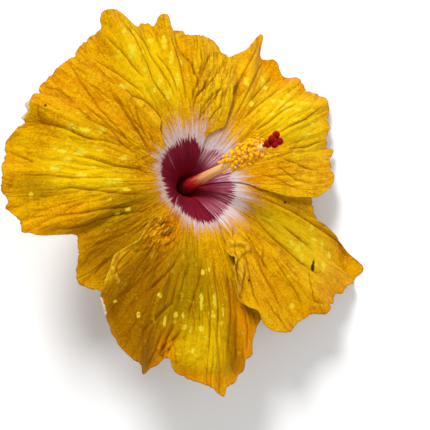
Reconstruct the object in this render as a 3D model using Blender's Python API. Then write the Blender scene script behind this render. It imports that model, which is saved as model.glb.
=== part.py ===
"""Hibiscus bloom lying face up, resting on two drooping petal tips and its bent stalk.

Lengths below are millimetres in the bloom's own frame, where Z runs up the throat, `reach` is the
distance from that axis and `bearing` the angle round it in degrees, anticlockwise seen from above.
The finished meshes are in metres, Z up, with the surface that the bloom lies on at Z = 0.
"""
import math

import bmesh
import bpy
import numpy as np

MM = 0.001
SEED = 20
CLEARANCE = 0.35
# the step over which the funnel's slope is measured
SLOPE_STEP = 0.3

# how the bloom leans and where the foot of its throat stands
LEAN = math.radians(20.0)
LEAN_BEARING = math.radians(25.0)
THROAT = np.array([-4.1, 7.2, 15.0])

# the funnel that all petals follow, as (reach, height)
FUNNEL = [(3.6, -6.0), (5.0, 0.0), (7.5, 6.5), (11.0, 12.0), (17.0, 17.0),
          (26.0, 21.0), (38.0, 23.5), (52.0, 24.5), (68.0, 24.5), (100.0, 24.0)]
# how far the outer part hangs at each bearing, at the end of DROOP_SPAN
DROOP = [(-37, 4.5), (-25, 9.3), (-12, 6.5), (0, 6.0), (15, 6.5), (36, 6.5), (60, 12.9),
         (78, 8.0), (107, 3.0), (174, 1.5), (250, 2.0), (300, 2.5), (323, 4.5)]
DROOP_FROM = 22.0
DROOP_SPAN = 44.0
DROOP_POWER = 1.5
# each petal winds from this far above the funnel at its clockwise side to as far below at the other
WINDING = [(3.6, 0.12), (10.0, 0.95), (20.0, 1.7), (32.0, 2.2), (100.0, 2.4)]

PETAL_THICKNESS = 0.8
PETAL_ROWS = 14
ROW_POWER = 1.2
CLAW_REACH = 3.6
RIPPLE_FROM = 18.0
RIPPLE_SPAN = 60.0
RIPPLES = [(9, 0.9, 0.5), (14, 0.7, 2.1), (23, 0.45, 1.3)]
RUFFLE_COUNT = 31
RUFFLE_HEIGHT = 0.9
RUFFLE_FROM = 0.72
# the share of a petal's width at each side that lies on or under a neighbour
LAP_NEAR = 0.1
LAP_FAR = 0.15
LAP_EASE = 0.1
LIP_WIDTH = 0.12
LIP_HEIGHT = 1.2

# For each petal: the bearing of its clockwise side at some reaches, the same for its other side,
# its margin as (bearing, reach), and its folds as (bearing inside, bearing outside, width,
# reach where it starts, reach where it is full, height).
PETALS = {
    "petal_upper_right": {
        "near_side": [(3.6, 3), (12, 2), (18, 0), (24, -3.5), (30, -7.5), (36, -9),
                      (42, -10), (50, -8.5), (57, -7)],
        "far_side": [(3.6, 68), (8, 70), (11, 76.5), (15, 81), (18, 83), (24, 84), (36, 83), (56, 81)],
        "margin": [(-7, 57.3), (-3, 62.2), (1, 67.5), (4.4, 69.1), (8, 67.9), (11, 69.2),
                   (14.4, 73.3), (15.8, 69.1), (19, 69.2), (23, 73.9), (27.5, 75.8), (32, 78.5),
                   (36.5, 75.8), (39.2, 73.4), (45.6, 75.3), (50, 75.5), (54.8, 79.6), (58.8, 75.7),
                   (61, 79), (62.4, 85.6), (64.8, 82.3), (67, 72.2), (70, 67.2), (75, 61.7),
                   (81, 56)],
        "folds": [(56, 64.5, 4, 26, 74, 4.5), (47, 50, 4, 30, 70, -2.2), (30, 33, 5, 25, 75, 2.2),
                  (12, 12, 5, 30, 72, -2.2), (22, 23, 3.5, 40, 75, 1.4), (39, 41, 3, 35, 75, -1.2)],
    },
    "petal_top": {
        "near_side": [(3.6, 74), (12, 76), (18, 79), (22, 76.5), (25, 70), (28.5, 63.5),
                      (33, 64.5), (37, 66), (42, 67), (47, 69), (50, 68), (53, 69.5),
                      (56, 72.5), (61.5, 75.5)],
        "far_side": [(3.6, 140), (8, 141.5), (11, 146), (15, 147), (24, 147), (66, 147)],
        "margin": [(75.5, 60.5), (78.5, 61.2), (81, 64), (84.5, 66.6), (89, 67.6), (93, 69.2),
                   (96, 71.8), (98.3, 73), (100.3, 78), (103, 78.4), (105.2, 75.8),
                   (108.5, 78), (111.8, 76.3), (114.3, 81.5), (116.3, 85.4), (118.8, 86.2),
                   (121.5, 86.4), (123.3, 83), (126, 81.6), (129, 81.5), (132, 81.8),
                   (136, 79.4), (141, 74), (147, 66)],
        "folds": [(95, 97, 3, 38, 74, -4), (102, 101, 3, 38, 78, 3), (108, 109, 3.5, 35, 78, -2),
                  (117, 118, 4, 35, 86, 3), (126, 127, 4.5, 35, 80, -1.6), (86, 87, 4, 30, 68, 2)],
    },
    "petal_left": {
        "near_side": [(3.6, 146), (10, 145), (15, 142), (19, 138), (24, 133), (29, 129.5),
                      (32.5, 124.5), (39.5, 126), (44, 128), (48, 131.5), (54, 133),
                      (61, 136), (70, 137), (78.4, 137)],
        "far_side": [(3.6, 211), (8, 213), (11, 220), (14, 227), (18, 233), (24, 234), (36, 233),
                     (50, 231), (68.5, 229)],
        "margin": [(137, 78.4), (141, 79.2), (145, 80.6), (149, 82), (152, 82.5), (154.5, 81),
                   (158.5, 84.5), (163, 82.4), (168, 85), (173, 88.2), (178, 88.7), (183, 89.5),
                   (187, 88.2), (190, 88.3), (193, 85.3), (195.6, 83.7), (198, 84.5),
                   (200, 79.6), (202.6, 70.4), (205.5, 62.5), (210, 64.3), (214, 68), (218, 71),
                   (221.5, 73.6), (225, 71), (229, 68.5)],
        "folds": [(157, 160, 4.5, 45, 84, 4.5), (169, 170, 5, 30, 88, -2.4),
                  (182, 183, 5, 30, 88, 2.4), (192, 194, 4, 35, 84, -1.8),
                  (204, 206, 3.5, 28, 62, -2), (211, 213, 3.5, 32, 70, 2.2),
                  (148, 147, 4, 30, 80, -1.5)],
    },
    "petal_bottom": {
        "near_side": [(3.6, 219), (11, 222), (17, 229), (21, 228), (26, 224), (31, 219.5),
                      (36, 221.5), (42, 224), (48, 222.2), (54, 221.2), (59, 223.6), (67.5, 227)],
        "far_side": [(3.6, 284), (8, 286), (11, 292.5), (15, 298), (21, 303), (30, 303), (45, 303),
                     (60, 302)],
        "margin": [(227, 67.5), (229.5, 71), (232.5, 75), (236, 77.6), (240, 81.8), (244, 84.6),
                   (248, 86.9), (251.3, 88.6), (253, 92.2), (255, 88.8), (257.2, 85.2),
                   (259.4, 82.4), (261.4, 86), (265, 89.9), (269, 92.2), (273, 95.3),
                   (275.8, 98.8), (277.2, 95.2), (280, 93.4), (282.6, 90), (284.8, 85.2),
                   (287.2, 83.7), (289, 77.4), (292, 72.6), (296, 68), (302, 60)],
        "folds": [(257, 259.5, 4, 42, 84, -4), (267, 270, 4.5, 38, 88, 2.4),
                  (246, 247, 5, 35, 85, 2.2), (280, 281, 4, 45, 85, -1.8),
                  (238, 238, 3.5, 40, 80, -1.6)],
    },
    "petal_lower_right": {
        "near_side": [(3.6, -69), (11, -68.5), (17, -66), (21.5, -64), (27.5, -68), (32, -69),
                      (36, -71), (41, -70), (44.5, -73), (50, -73), (56.5, -74), (61.5, -71),
                      (66, -67.3), (72, -67)],
        "far_side": [(3.6, -5), (8, -3), (11, 2.5), (16, 6), (24, 7), (36, 7), (50, 6)],
        "margin": [(-67, 72), (-64, 77.5), (-61, 81), (-57, 82.1), (-53, 80.9), (-49.5, 81.8),
                   (-46.5, 86.2), (-43.5, 83.6), (-41, 86.2), (-38.5, 85.2), (-36, 88.1),
                   (-33, 90), (-30, 92.8), (-27, 96.4), (-24.3, 99.6), (-22.4, 92),
                   (-20.5, 81.5), (-18.3, 72.5), (-16.2, 64), (-13, 58.6), (-7, 56.5),
                   (-1, 54), (6, 50)],
        "folds": [(-46, -44.5, 3, 42, 84, 3.5), (-53, -52, 4, 38, 80, -2.2),
                  (-37, -38, 3, 35, 85, -1.4), (-30, -31, 4, 30, 88, 1.6)],
    },
}

# the stamens' tube, bent over from the throat, as the three points of its curve in the row frame
COLUMN_TIP = np.array([30.9, 23.7, 60.0])
COLUMN_BEND = 20.0
COLUMN_FOOT = -6.9
COLUMN_RADII = [(0.0, 2.7), (0.05, 3.05), (0.1, 3.45), (0.2, 3.3), (0.31, 2.8), (0.47, 2.3),
                (0.69, 1.85), (0.9, 1.5), (1.0, 1.3)]
COLUMN_SIDES = 12
COLUMN_RINGS = 14
SOCKET_RADIUS = 0.85
SOCKET_DEPTH = 2.0
STAMENS = 64
STAMEN_FROM = 0.67
STAMEN_TO = 0.95
STAMEN_CROWDING = 0.85
STAMEN_TURN = 2.4
STAMEN_SCATTER = 0.3
STAMEN_LEAN = (0.05, 0.45)
FILAMENT_ROOT = 0.7
FILAMENT_REACH = (3.4, 5.0)
FILAMENT_RADII = (0.42, 0.36)
FILAMENT_SIDES = 5
ANTHER_RADIUS = 0.85
ANTHER_SQUASH = 0.28
ANTHER_OVERHANG = 0.3

STYLE_RADIUS = 0.5
STYLE_SIDES = 8
STYLE_LENGTH = 3.0
BRANCH_RADIUS = 0.4
BRANCH_SIDES = 6
BRANCH_ROOT = 0.6
BRANCH_STAGGER = 0.13
BRANCH_ARCH = 0.35
PAD_RADIUS = 1.45
PAD_HEIGHT = 1.25
# the five stigma pads, from the tube's tip, in the row frame
PADS = [(5.1, 4.5, 4.6), (3.2, 2.6, 6.4), (1.5, 0.6, 4.4), (4.4, 0.4, 5.6), (6.6, 1.7, 4.2)]

CALYX_COLUMNS = 30
CALYX_THICKNESS = 0.8
CALYX_SINUS = 8.5
CALYX_LOBE = 17.5
CALYX_ROWS = 5
LOBES = 5
LOBE_BEARING = 71.0
LOBE_POINT = 0.9
CUP_REACH = 4.4
# the cup's floor inside and its underside, as (radius, height)
CUP_FLOOR = [(2.0, -7.3), (4.4, -7.0)]
CUP_UNDER = [(5.0, -8.2), (2.0, -10.0)]
BRACTS = 7
BRACT_LENGTH = 15.0
BRACT_WIDTH = 1.9
BRACT_BEARING = 12.0
BRACT_ROOT = 1.5
BRACT_ROWS = 6
BRACT_TAPER = 0.75
BRACT_KEEL = 0.25
BRACT_HALF = 0.4
# a bract's height over its reach: at the root, slope and curl
BRACT_RISE = (-9.4, 0.2, 0.012)
STALK_RADIUS = 1.8
STALK_ROOT = (-8.8, -10.6)
STALK_NECK = [2.3, 2.0]
# the stalk's bend, as (share of the way to its end, height in the row frame)
STALK_BEND = [(0.06, 3.3), (0.14, 2.15)]
STALK_FLAT_FROM = 0.24
STALK_SIDES = 8
STALK_FLAT = 0.05
STALK_END = np.array([-37.5, -18.7])

COLOURS = {
    "petal": ((0.86, 0.42, 0.006, 1.0), 0.55),
    "column": ((0.80, 0.42, 0.13, 1.0), 0.5),
    "stigma": ((0.32, 0.002, 0.004, 1.0), 0.6),
    "green": ((0.13, 0.24, 0.05, 1.0), 0.6),
}


def slopes(x, y):
    """Return slopes at the points that keep a cubic between them from overshooting."""
    step = np.diff(x)
    rise = np.diff(y) / step
    slope = np.zeros(len(x))
    slope[0] = rise[0]
    slope[-1] = rise[-1]
    for i in range(1, len(x) - 1):
        if rise[i - 1] * rise[i] > 0:
            before = 2 * step[i] + step[i - 1]
            after = step[i] + 2 * step[i - 1]
            slope[i] = (before + after) / (before / rise[i - 1] + after / rise[i])
    return slope


def curve(points, at):
    """Evaluate the smooth curve through (x, y) points, level beyond both ends."""
    x = np.array([p[0] for p in points], float)
    y = np.array([p[1] for p in points], float)
    slope = slopes(x, y)
    at = np.clip(np.asarray(at, float), x[0], x[-1])
    i = np.clip(np.searchsorted(x, at, side="right") - 1, 0, len(x) - 2)
    step = x[i + 1] - x[i]
    t = (at - x[i]) / step
    start = (1 + 2 * t) * (1 - t) ** 2 * y[i] + t * (1 - t) ** 2 * step * slope[i]
    end = t * t * (3 - 2 * t) * y[i + 1] - t * t * (1 - t) * step * slope[i + 1]
    return start + end


def smooth(value):
    """Ease a value from 0 to 1, level beyond both."""
    value = np.clip(value, 0.0, 1.0)
    return value * value * (3 - 2 * value)


def funnel(reach, bearing):
    """Return points of the shared funnel in the bloom's own frame."""
    turn = (np.asarray(bearing, float) + 37) % 360 - 37
    out = np.clip(np.asarray(reach, float) - DROOP_FROM, 0, None) / DROOP_SPAN
    height = curve(FUNNEL, reach) - curve(DROOP, turn) * out ** DROOP_POWER
    angle = np.radians(bearing)
    return np.stack([reach * np.cos(angle), reach * np.sin(angle), height], -1)


def funnel_normal(reach, bearing):
    """Return the funnel's unit normals, pointing into the bloom's open side."""
    away = funnel(reach + SLOPE_STEP, bearing) - funnel(reach - SLOPE_STEP, bearing)
    turn = np.degrees(SLOPE_STEP / reach)
    round_it = funnel(reach, bearing + turn) - funnel(reach, bearing - turn)
    normal = np.cross(away, round_it)
    return normal / np.linalg.norm(normal, axis=-1, keepdims=True)


def to_row(points):
    """Lean the bloom's own frame over and stand it on its place in the row frame."""
    kx = -math.sin(LEAN_BEARING)
    ky = math.cos(LEAN_BEARING)
    cross = np.array([[0, 0, ky], [0, 0, -kx], [-ky, kx, 0]])
    turn = np.eye(3) + math.sin(LEAN) * cross + (1 - math.cos(LEAN)) * cross @ cross
    return np.asarray(points) @ turn.T + THROAT


def relief(petal, reach, bearing, across, along):
    """Return how far a petal's middle surface stands off the funnel."""
    angle = np.radians(bearing)
    strength = np.clip((reach - RIPPLE_FROM) / RIPPLE_SPAN, 0, None)
    lift = curve(WINDING, reach) * (1 - 2 * across)
    for count, height, phase in RIPPLES:
        lift = lift + strength * height * np.cos(count * angle + phase)
    for inside, outside, width, start, full, height in petal["folds"]:
        share = np.clip((reach - start) / (full - start), 0, 1.15)
        middle = inside + (outside - inside) * share
        lift = lift + height * smooth(share) * np.exp(-((bearing - middle) / width) ** 2)
    inner = smooth((across - LAP_NEAR) / LAP_EASE) * smooth((1 - LAP_FAR - across) / LAP_EASE)
    edge = smooth((along - RUFFLE_FROM) / (1 - RUFFLE_FROM))
    lift = lift + RUFFLE_HEIGHT * edge * inner * np.cos(RUFFLE_COUNT * angle + reach / 9)
    lip = np.clip(1 - across / LIP_WIDTH, 0, 1) ** 2 * smooth((reach - 20) / 20)
    return lift + LIP_HEIGHT * lip * (1 + 0.6 * np.sin(reach / 3.1))


def petal_grid(petal):
    """Return the reach, bearing, across and along values of a petal's grid of points."""
    ends = np.array(petal["margin"], float)
    low = curve(petal["near_side"], ends[:, 1])
    high = curve(petal["far_side"], ends[:, 1])
    across = np.clip((ends[:, 0] - low) / (high - low), 0, 1)
    across[0] = 0.0
    across[-1] = 1.0
    along = np.linspace(0, 1, PETAL_ROWS + 1)[:, None]
    across = across[None, :]
    reach = CLAW_REACH + (ends[:, 1][None, :] - CLAW_REACH) * along ** ROW_POWER
    low = curve(petal["near_side"], reach)
    bearing = low + (curve(petal["far_side"], reach) - low) * across
    return reach, bearing, np.broadcast_to(across, reach.shape), np.broadcast_to(along, reach.shape)


def sheet_faces(rows, columns):
    """Return the triangles of a closed sheet with alike upper and lower faces."""
    count = rows * columns
    faces = []
    for r in range(rows - 1):
        for c in range(columns - 1):
            a = r * columns + c
            b = a + columns
            faces.append((a, b, b + 1))
            faces.append((a, b + 1, a + 1))
            faces.append((count + a, count + b + 1, count + b))
            faces.append((count + a, count + a + 1, count + b + 1))
    rim = [(0, c) for c in range(columns)]
    rim += [(r, columns - 1) for r in range(1, rows)]
    rim += [(rows - 1, c) for c in range(columns - 2, -1, -1)]
    rim += [(r, 0) for r in range(rows - 2, 0, -1)]
    ring = [r * columns + c for r, c in rim]
    for a, b in zip(ring, ring[1:] + ring[:1]):
        faces.append((a, b, count + b))
        faces.append((a, count + b, count + a))
    return faces


def add_mesh(name, points_mm, faces, colour):
    """Make a closed mesh object with outward faces from points in millimetres."""
    mesh = bpy.data.meshes.new(name)
    mesh.from_pydata([tuple(p) for p in np.asarray(points_mm) * MM], [], faces)
    shape = bmesh.new()
    shape.from_mesh(mesh)
    bmesh.ops.recalc_face_normals(shape, faces=shape.faces)
    shape.to_mesh(mesh)
    shape.free()
    for polygon in mesh.polygons:
        polygon.use_smooth = True
    made = bpy.data.objects.new(name, mesh)
    bpy.context.scene.collection.objects.link(made)
    if colour:
        made.data.materials.append(material(colour))
    return made


def material(name):
    """Return the named Principled material, made once."""
    if name in bpy.data.materials:
        return bpy.data.materials[name]
    colour, roughness = COLOURS[name]
    made = bpy.data.materials.new(name)
    made.use_nodes = True
    shader = made.node_tree.nodes["Principled BSDF"]
    shader.inputs["Base Color"].default_value = colour
    shader.inputs["Roughness"].default_value = roughness
    shader.inputs["Metallic"].default_value = 0.0
    made.diffuse_color = colour
    return made


def build_petal(name, petal):
    """Build one petal: a waved sheet from its claw to its cut margin, flattened where it rests."""
    reach, bearing, across, along = petal_grid(petal)
    middle = funnel(reach, bearing)
    normal = funnel_normal(reach, bearing)
    lift = relief(petal, reach, bearing, across, along)[..., None]
    half = PETAL_THICKNESS / 2
    upper = to_row((middle + normal * (lift + half)).reshape(-1, 3))
    lower = to_row((middle + normal * (lift - half)).reshape(-1, 3))
    lower[:, 2] = np.maximum(lower[:, 2], 0.0)
    upper[:, 2] = np.maximum(upper[:, 2], PETAL_THICKNESS)
    faces = sheet_faces(*reach.shape)
    return add_mesh(name, np.concatenate([upper, lower]), faces, "petal")


def frame_along(direction):
    """Return two unit vectors square to a direction and to each other."""
    direction = direction / np.linalg.norm(direction)
    side = np.cross(direction, np.array([0.0, 0.0, 1.0]))
    if np.linalg.norm(side) < 0.05:
        side = np.cross(direction, np.array([1.0, 0.0, 0.0]))
    side = side / np.linalg.norm(side)
    return side, np.cross(side, direction)


def tube(centres, radii, sides, turn=0.0):
    """Return the points and faces of a closed tube along centres, capped at both ends."""
    centres = np.asarray(centres, float)
    points = []
    faces = []
    for i, (centre, radius) in enumerate(zip(centres, radii)):
        ahead = centres[min(i + 1, len(centres) - 1)] - centres[max(i - 1, 0)]
        side, up = frame_along(ahead)
        for k in range(sides):
            angle = 2 * math.pi * k / sides + turn
            points.append(centre + radius * (math.cos(angle) * side + math.sin(angle) * up))
    for i in range(len(centres) - 1):
        for k in range(sides):
            a = i * sides + k
            b = i * sides + (k + 1) % sides
            faces.append((a, b, b + sides))
            faces.append((a, b + sides, a + sides))
    faces.append(tuple(range(sides)))
    last = (len(centres) - 1) * sides
    faces.append(tuple(last + k for k in range(sides)))
    return points, faces


def column_path(share):
    """Return points on the stamens' tube, from its foot at 0 to its tip at 1."""
    foot = to_row(np.array([[0.0, 0.0, COLUMN_FOOT]]))[0]
    bend = to_row(np.array([[0.0, 0.0, COLUMN_BEND]]))[0]
    share = np.asarray(share, float)[..., None]
    return (1 - share) ** 2 * foot + 2 * share * (1 - share) * bend + share ** 2 * COLUMN_TIP


def ball(centre, radii, steps):
    """Return the points and faces of a small rounded bead."""
    shape = bmesh.new()
    bmesh.ops.create_icosphere(shape, subdivisions=steps, radius=1.0)
    points = [np.array(v.co) * np.array(radii) + centre for v in shape.verts]
    faces = [tuple(v.index for v in f.verts) for f in shape.faces]
    shape.free()
    return points, faces


def fuse(body, pieces, name):
    """Join the pieces into the body with one Boolean and drop them."""
    group = bpy.data.collections.new(name)
    bpy.context.scene.collection.children.link(group)
    for piece in pieces:
        bpy.context.scene.collection.objects.unlink(piece)
        group.objects.link(piece)
    join = body.modifiers.new("join", "BOOLEAN")
    join.operation = "UNION"
    join.operand_type = "COLLECTION"
    join.collection = group
    join.solver = "MANIFOLD"
    bpy.context.view_layer.objects.active = body
    bpy.ops.object.modifier_apply(modifier=join.name)
    for piece in pieces:
        bpy.data.objects.remove(piece)
    bpy.data.collections.remove(group)
    return body


def build_column():
    """Build the stamens' tube with its filaments and anthers, open at the tip for the style."""
    shares = np.linspace(0, 1, COLUMN_RINGS)
    centres = column_path(shares)
    radii = curve(COLUMN_RADII, shares)
    points, faces = tube(centres, radii, COLUMN_SIDES)
    faces = faces[:-1]
    ahead = centres[-1] - centres[-2]
    side, up = frame_along(ahead)
    ahead = ahead / np.linalg.norm(ahead)
    ring = (COLUMN_RINGS - 1) * COLUMN_SIDES
    for depth in (0.0, SOCKET_DEPTH):
        base = len(points)
        for k in range(COLUMN_SIDES):
            angle = 2 * math.pi * k / COLUMN_SIDES
            spoke = math.cos(angle) * side + math.sin(angle) * up
            points.append(centres[-1] - ahead * depth + SOCKET_RADIUS * spoke)
        for k in range(COLUMN_SIDES):
            nxt = (k + 1) % COLUMN_SIDES
            faces.append((ring + k, ring + nxt, base + nxt))
            faces.append((ring + k, base + nxt, base + k))
        ring = base
    faces.append(tuple(ring + k for k in range(COLUMN_SIDES)))
    body = add_mesh("staminal_column", points, faces, "column")

    rng = np.random.default_rng(SEED)
    pieces = []
    for i in range(STAMENS):
        share = STAMEN_FROM + (STAMEN_TO - STAMEN_FROM) * ((i + 0.5) / STAMENS) ** STAMEN_CROWDING
        centre, after = column_path(np.array([share, share + 0.01]))
        side, up = frame_along(after - centre)
        onward = (after - centre) / np.linalg.norm(after - centre)
        angle = i * STAMEN_TURN + rng.uniform(-STAMEN_SCATTER, STAMEN_SCATTER)
        spoke = math.cos(angle) * side + math.sin(angle) * up
        way = spoke + onward * rng.uniform(*STAMEN_LEAN)
        way = way / np.linalg.norm(way)
        end = centre + way * rng.uniform(*FILAMENT_REACH)
        root = centre + way * FILAMENT_ROOT
        made, made_faces = tube([root, end], FILAMENT_RADII, FILAMENT_SIDES, rng.uniform(0, 1))
        pieces.append(add_mesh(f"filament_{i}", made, made_faces, None))
        bead = end + way * ANTHER_OVERHANG
        made, made_faces = ball(bead, [ANTHER_RADIUS] * 3, 1)
        made = np.array(made)
        made = made - ANTHER_SQUASH * ((made - bead) @ way)[:, None] * way
        pieces.append(add_mesh(f"anther_{i}", made, made_faces, None))
    return fuse(body, pieces, "stamens")


def build_style():
    """Build the style's tip, seated in the tube's end, with five branches and their pads."""
    before, tip = column_path(np.array([0.99, 1.0]))
    ahead = (tip - before) / np.linalg.norm(tip - before)
    top = tip + ahead * STYLE_LENGTH
    centres = [tip - ahead * (SOCKET_DEPTH - CLEARANCE), tip, top]
    points, faces = tube(centres, [STYLE_RADIUS] * 3, STYLE_SIDES)
    body = add_mesh("style_and_stigmas", points, faces, "stigma")
    pieces = []
    for i, pad in enumerate(PADS):
        centre = tip + np.array(pad)
        root = top - ahead * (BRANCH_ROOT + BRANCH_STAGGER * i)
        elbow = (root + centre) / 2 + ahead * BRANCH_ARCH
        points, faces = tube([root, elbow, centre], [BRANCH_RADIUS] * 3, BRANCH_SIDES, 0.3 * i)
        pieces.append(add_mesh(f"branch_{i}", points, faces, None))
        points, faces = ball(centre, (PAD_RADIUS, PAD_RADIUS, PAD_HEIGHT), 2)
        pieces.append(add_mesh(f"pad_{i}", points, faces, None))
    return fuse(body, pieces, "pads")


def calyx_points():
    """Return the calyx cup as rings of points, from inside its floor over its lobes to below."""
    bearing = np.arange(CALYX_COLUMNS) * 360 / CALYX_COLUMNS + LOBE_BEARING
    half = 180 / LOBES
    from_lobe = np.abs((bearing - LOBE_BEARING + half) % (2 * half) - half) / half
    top = CALYX_SINUS + (CALYX_LOBE - CALYX_SINUS) * (1 - from_lobe) ** LOBE_POINT
    angle = np.radians(bearing)

    def ring(radius, height):
        flat = np.full(CALYX_COLUMNS, float(height))
        return np.stack([radius * np.cos(angle), radius * np.sin(angle), flat], -1)

    def wall(share, side):
        reach = CUP_REACH + (top - CUP_REACH) * share
        depth = curve(WINDING, reach) + PETAL_THICKNESS / 2 + CLEARANCE
        depth = depth + CALYX_THICKNESS / 2 - side * CALYX_THICKNESS / 2
        return funnel(reach, bearing) - funnel_normal(reach, bearing) * depth[:, None]

    rings = [ring(*step) for step in CUP_FLOOR]
    rings += [wall(share, 1) for share in np.linspace(0, 1, CALYX_ROWS + 1)]
    rings += [wall(share, -1) for share in np.linspace(1, 0, CALYX_ROWS + 1)]
    rings += [ring(*step) for step in CUP_UNDER]
    return rings


def build_calyx():
    """Build the calyx cup, its ring of bracts and the bent stalk as one green body."""
    rings = calyx_points()
    points = to_row(np.concatenate(rings))
    faces = [tuple(range(CALYX_COLUMNS))]
    for r in range(len(rings) - 1):
        for k in range(CALYX_COLUMNS):
            a = r * CALYX_COLUMNS + k
            b = r * CALYX_COLUMNS + (k + 1) % CALYX_COLUMNS
            faces.append((a, b, b + CALYX_COLUMNS))
            faces.append((a, b + CALYX_COLUMNS, a + CALYX_COLUMNS))
    last = (len(rings) - 1) * CALYX_COLUMNS
    faces.append(tuple(last + k for k in range(CALYX_COLUMNS)))
    body = add_mesh("calyx_and_stalk", points, faces, "green")

    pieces = []
    for i in range(BRACTS):
        points, faces = bract(360 * i / BRACTS + BRACT_BEARING)
        pieces.append(add_mesh(f"bract_{i}", points, faces, None))
    points, faces = stalk()
    pieces.append(add_mesh("stalk", points, faces, None))
    return fuse(body, pieces, "bracts")


def stalk():
    """Return the stalk, which bends over under the calyx and lies flat to its cut end."""
    path = list(to_row(np.array([[0.0, 0.0, height] for height in STALK_ROOT])))
    low = STALK_RADIUS * math.cos(math.pi / STALK_SIDES)
    start = path[-1][:2]
    for share, height in STALK_BEND + [(STALK_FLAT_FROM, low), (1.0, low)]:
        path.append(np.array([*(start + (STALK_END - start) * share), height]))
    radii = STALK_NECK + [STALK_RADIUS] * (len(path) - len(STALK_NECK))
    points, faces = tube(path, radii, STALK_SIDES, math.pi / STALK_SIDES)
    return [np.array([*p[:2], 0.0]) if p[2] < STALK_FLAT else p for p in points], faces


def bract(bearing):
    """Return one narrow bract, curving out and up from under the calyx."""
    shares = np.linspace(0, 1, BRACT_ROWS)
    reach = BRACT_ROOT + (BRACT_LENGTH - BRACT_ROOT) * shares
    height = BRACT_RISE[0] + BRACT_RISE[1] * reach + BRACT_RISE[2] * reach ** 2
    width = BRACT_WIDTH * (1 - BRACT_TAPER * shares ** 2)
    angle = math.radians(bearing)
    ahead = np.array([math.cos(angle), math.sin(angle), 0.0])
    aside = np.array([-math.sin(angle), math.cos(angle), 0.0])
    lower = []
    upper = []
    for r, h, w in zip(reach, height, width):
        middle = ahead * r + np.array([0, 0, h])
        for side in (-0.5, 0.0, 0.5):
            keel = BRACT_KEEL if side == 0.0 else 0.0
            lower.append(middle + aside * w * side + np.array([0, 0, -BRACT_HALF - keel]))
            upper.append(middle + aside * w * side + np.array([0, 0, BRACT_HALF - keel]))
    points = to_row(np.array(upper + lower))
    return points, sheet_faces(len(shares), 3)


def main():
    """Build every piece of the bloom."""
    for old in list(bpy.data.objects):
        bpy.data.objects.remove(old)
    for name, petal in PETALS.items():
        build_petal(name, petal)
    build_column()
    build_style()
    build_calyx()


main()
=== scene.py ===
"""Looks of a large golden hibiscus bloom lying face up on a pale table.

Lengths are millimetres until a mesh is made. In the bloom's own frame Z runs up the throat,
`reach` is the distance from that axis and `bearing` the angle round it in degrees.
"""
import logging
import math
from dataclasses import dataclass
from enum import Enum
from typing import Callable, Sequence

import bmesh
import bpy
import numpy as np
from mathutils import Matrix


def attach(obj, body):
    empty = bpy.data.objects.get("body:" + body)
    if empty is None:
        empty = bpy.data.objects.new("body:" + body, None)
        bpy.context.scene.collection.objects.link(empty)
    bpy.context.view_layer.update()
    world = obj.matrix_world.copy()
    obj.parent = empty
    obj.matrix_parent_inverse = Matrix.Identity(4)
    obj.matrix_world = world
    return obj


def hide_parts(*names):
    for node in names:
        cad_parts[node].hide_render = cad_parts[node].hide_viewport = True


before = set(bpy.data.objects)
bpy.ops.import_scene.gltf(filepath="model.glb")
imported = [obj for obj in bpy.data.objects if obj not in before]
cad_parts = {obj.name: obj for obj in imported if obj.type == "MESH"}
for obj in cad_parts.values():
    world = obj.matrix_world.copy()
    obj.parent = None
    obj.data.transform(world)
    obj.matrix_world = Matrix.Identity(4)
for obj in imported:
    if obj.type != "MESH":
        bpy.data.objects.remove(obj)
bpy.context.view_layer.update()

log = logging.getLogger("bloom")

MM = 0.001

UPWARD = np.array([0.0, 0.0, 1.0])
# About how high a fold made from Crumple is on average.
FOLD_MEAN = 0.3

Array = np.ndarray
Piece = bpy.types.Object
Material = bpy.types.Material
Points = Sequence[tuple[float, float]]
Colour = tuple[float, float, float]


def slopes(x: Array, y: Array) -> Array:
    """Find slopes that keep a cubic through the points from overshooting.

    Args:
        x: Rising places of the points.
        y: Heights of the points.

    Returns:
        One slope at each point.
    """
    step = np.diff(x)
    rise = np.diff(y) / step
    slope = np.zeros(len(x))
    slope[0] = rise[0]
    slope[-1] = rise[-1]
    for i in range(1, len(x) - 1):
        if rise[i - 1] * rise[i] > 0:
            before = 2 * step[i] + step[i - 1]
            after = step[i] + 2 * step[i - 1]
            slope[i] = (before + after) / (before / rise[i - 1] + after / rise[i])
    return slope


def curve(points: Points, at: Array) -> Array:
    """Evaluate the smooth curve through points, level beyond both ends.

    Args:
        points: (x, y) pairs with rising x.
        at: Places to evaluate.

    Returns:
        The curve's heights there.
    """
    x = np.array([p[0] for p in points], float)
    y = np.array([p[1] for p in points], float)
    slope = slopes(x, y)
    at = np.clip(np.asarray(at, float), x[0], x[-1])
    i = np.clip(np.searchsorted(x, at, side="right") - 1, 0, len(x) - 2)
    step = x[i + 1] - x[i]
    t = (at - x[i]) / step
    start = (1 + 2 * t) * (1 - t) ** 2 * y[i] + t * (1 - t) ** 2 * step * slope[i]
    end = t * t * (3 - 2 * t) * y[i + 1] - t * t * (1 - t) * step * slope[i + 1]
    return start + end


def smooth(value: Array) -> Array:
    """Ease values from 0 to 1, level beyond both."""
    value = np.clip(value, 0.0, 1.0)
    return value * value * (3 - 2 * value)


def bell(value: Array, width: float) -> Array:
    """Fall away from 1 as values leave 0, over this width."""
    return np.exp(-(value / width) ** 2)


def turned(angle: Array, side: Array, up: Array) -> Array:
    """Return the directions at angles from one direction towards another."""
    angle = np.asarray(angle)[..., None]
    return np.cos(angle) * side + np.sin(angle) * up


def unit(vectors: Array) -> Array:
    """Bring vectors to a length of one."""
    return vectors / np.linalg.norm(vectors, axis=-1, keepdims=True)


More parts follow.
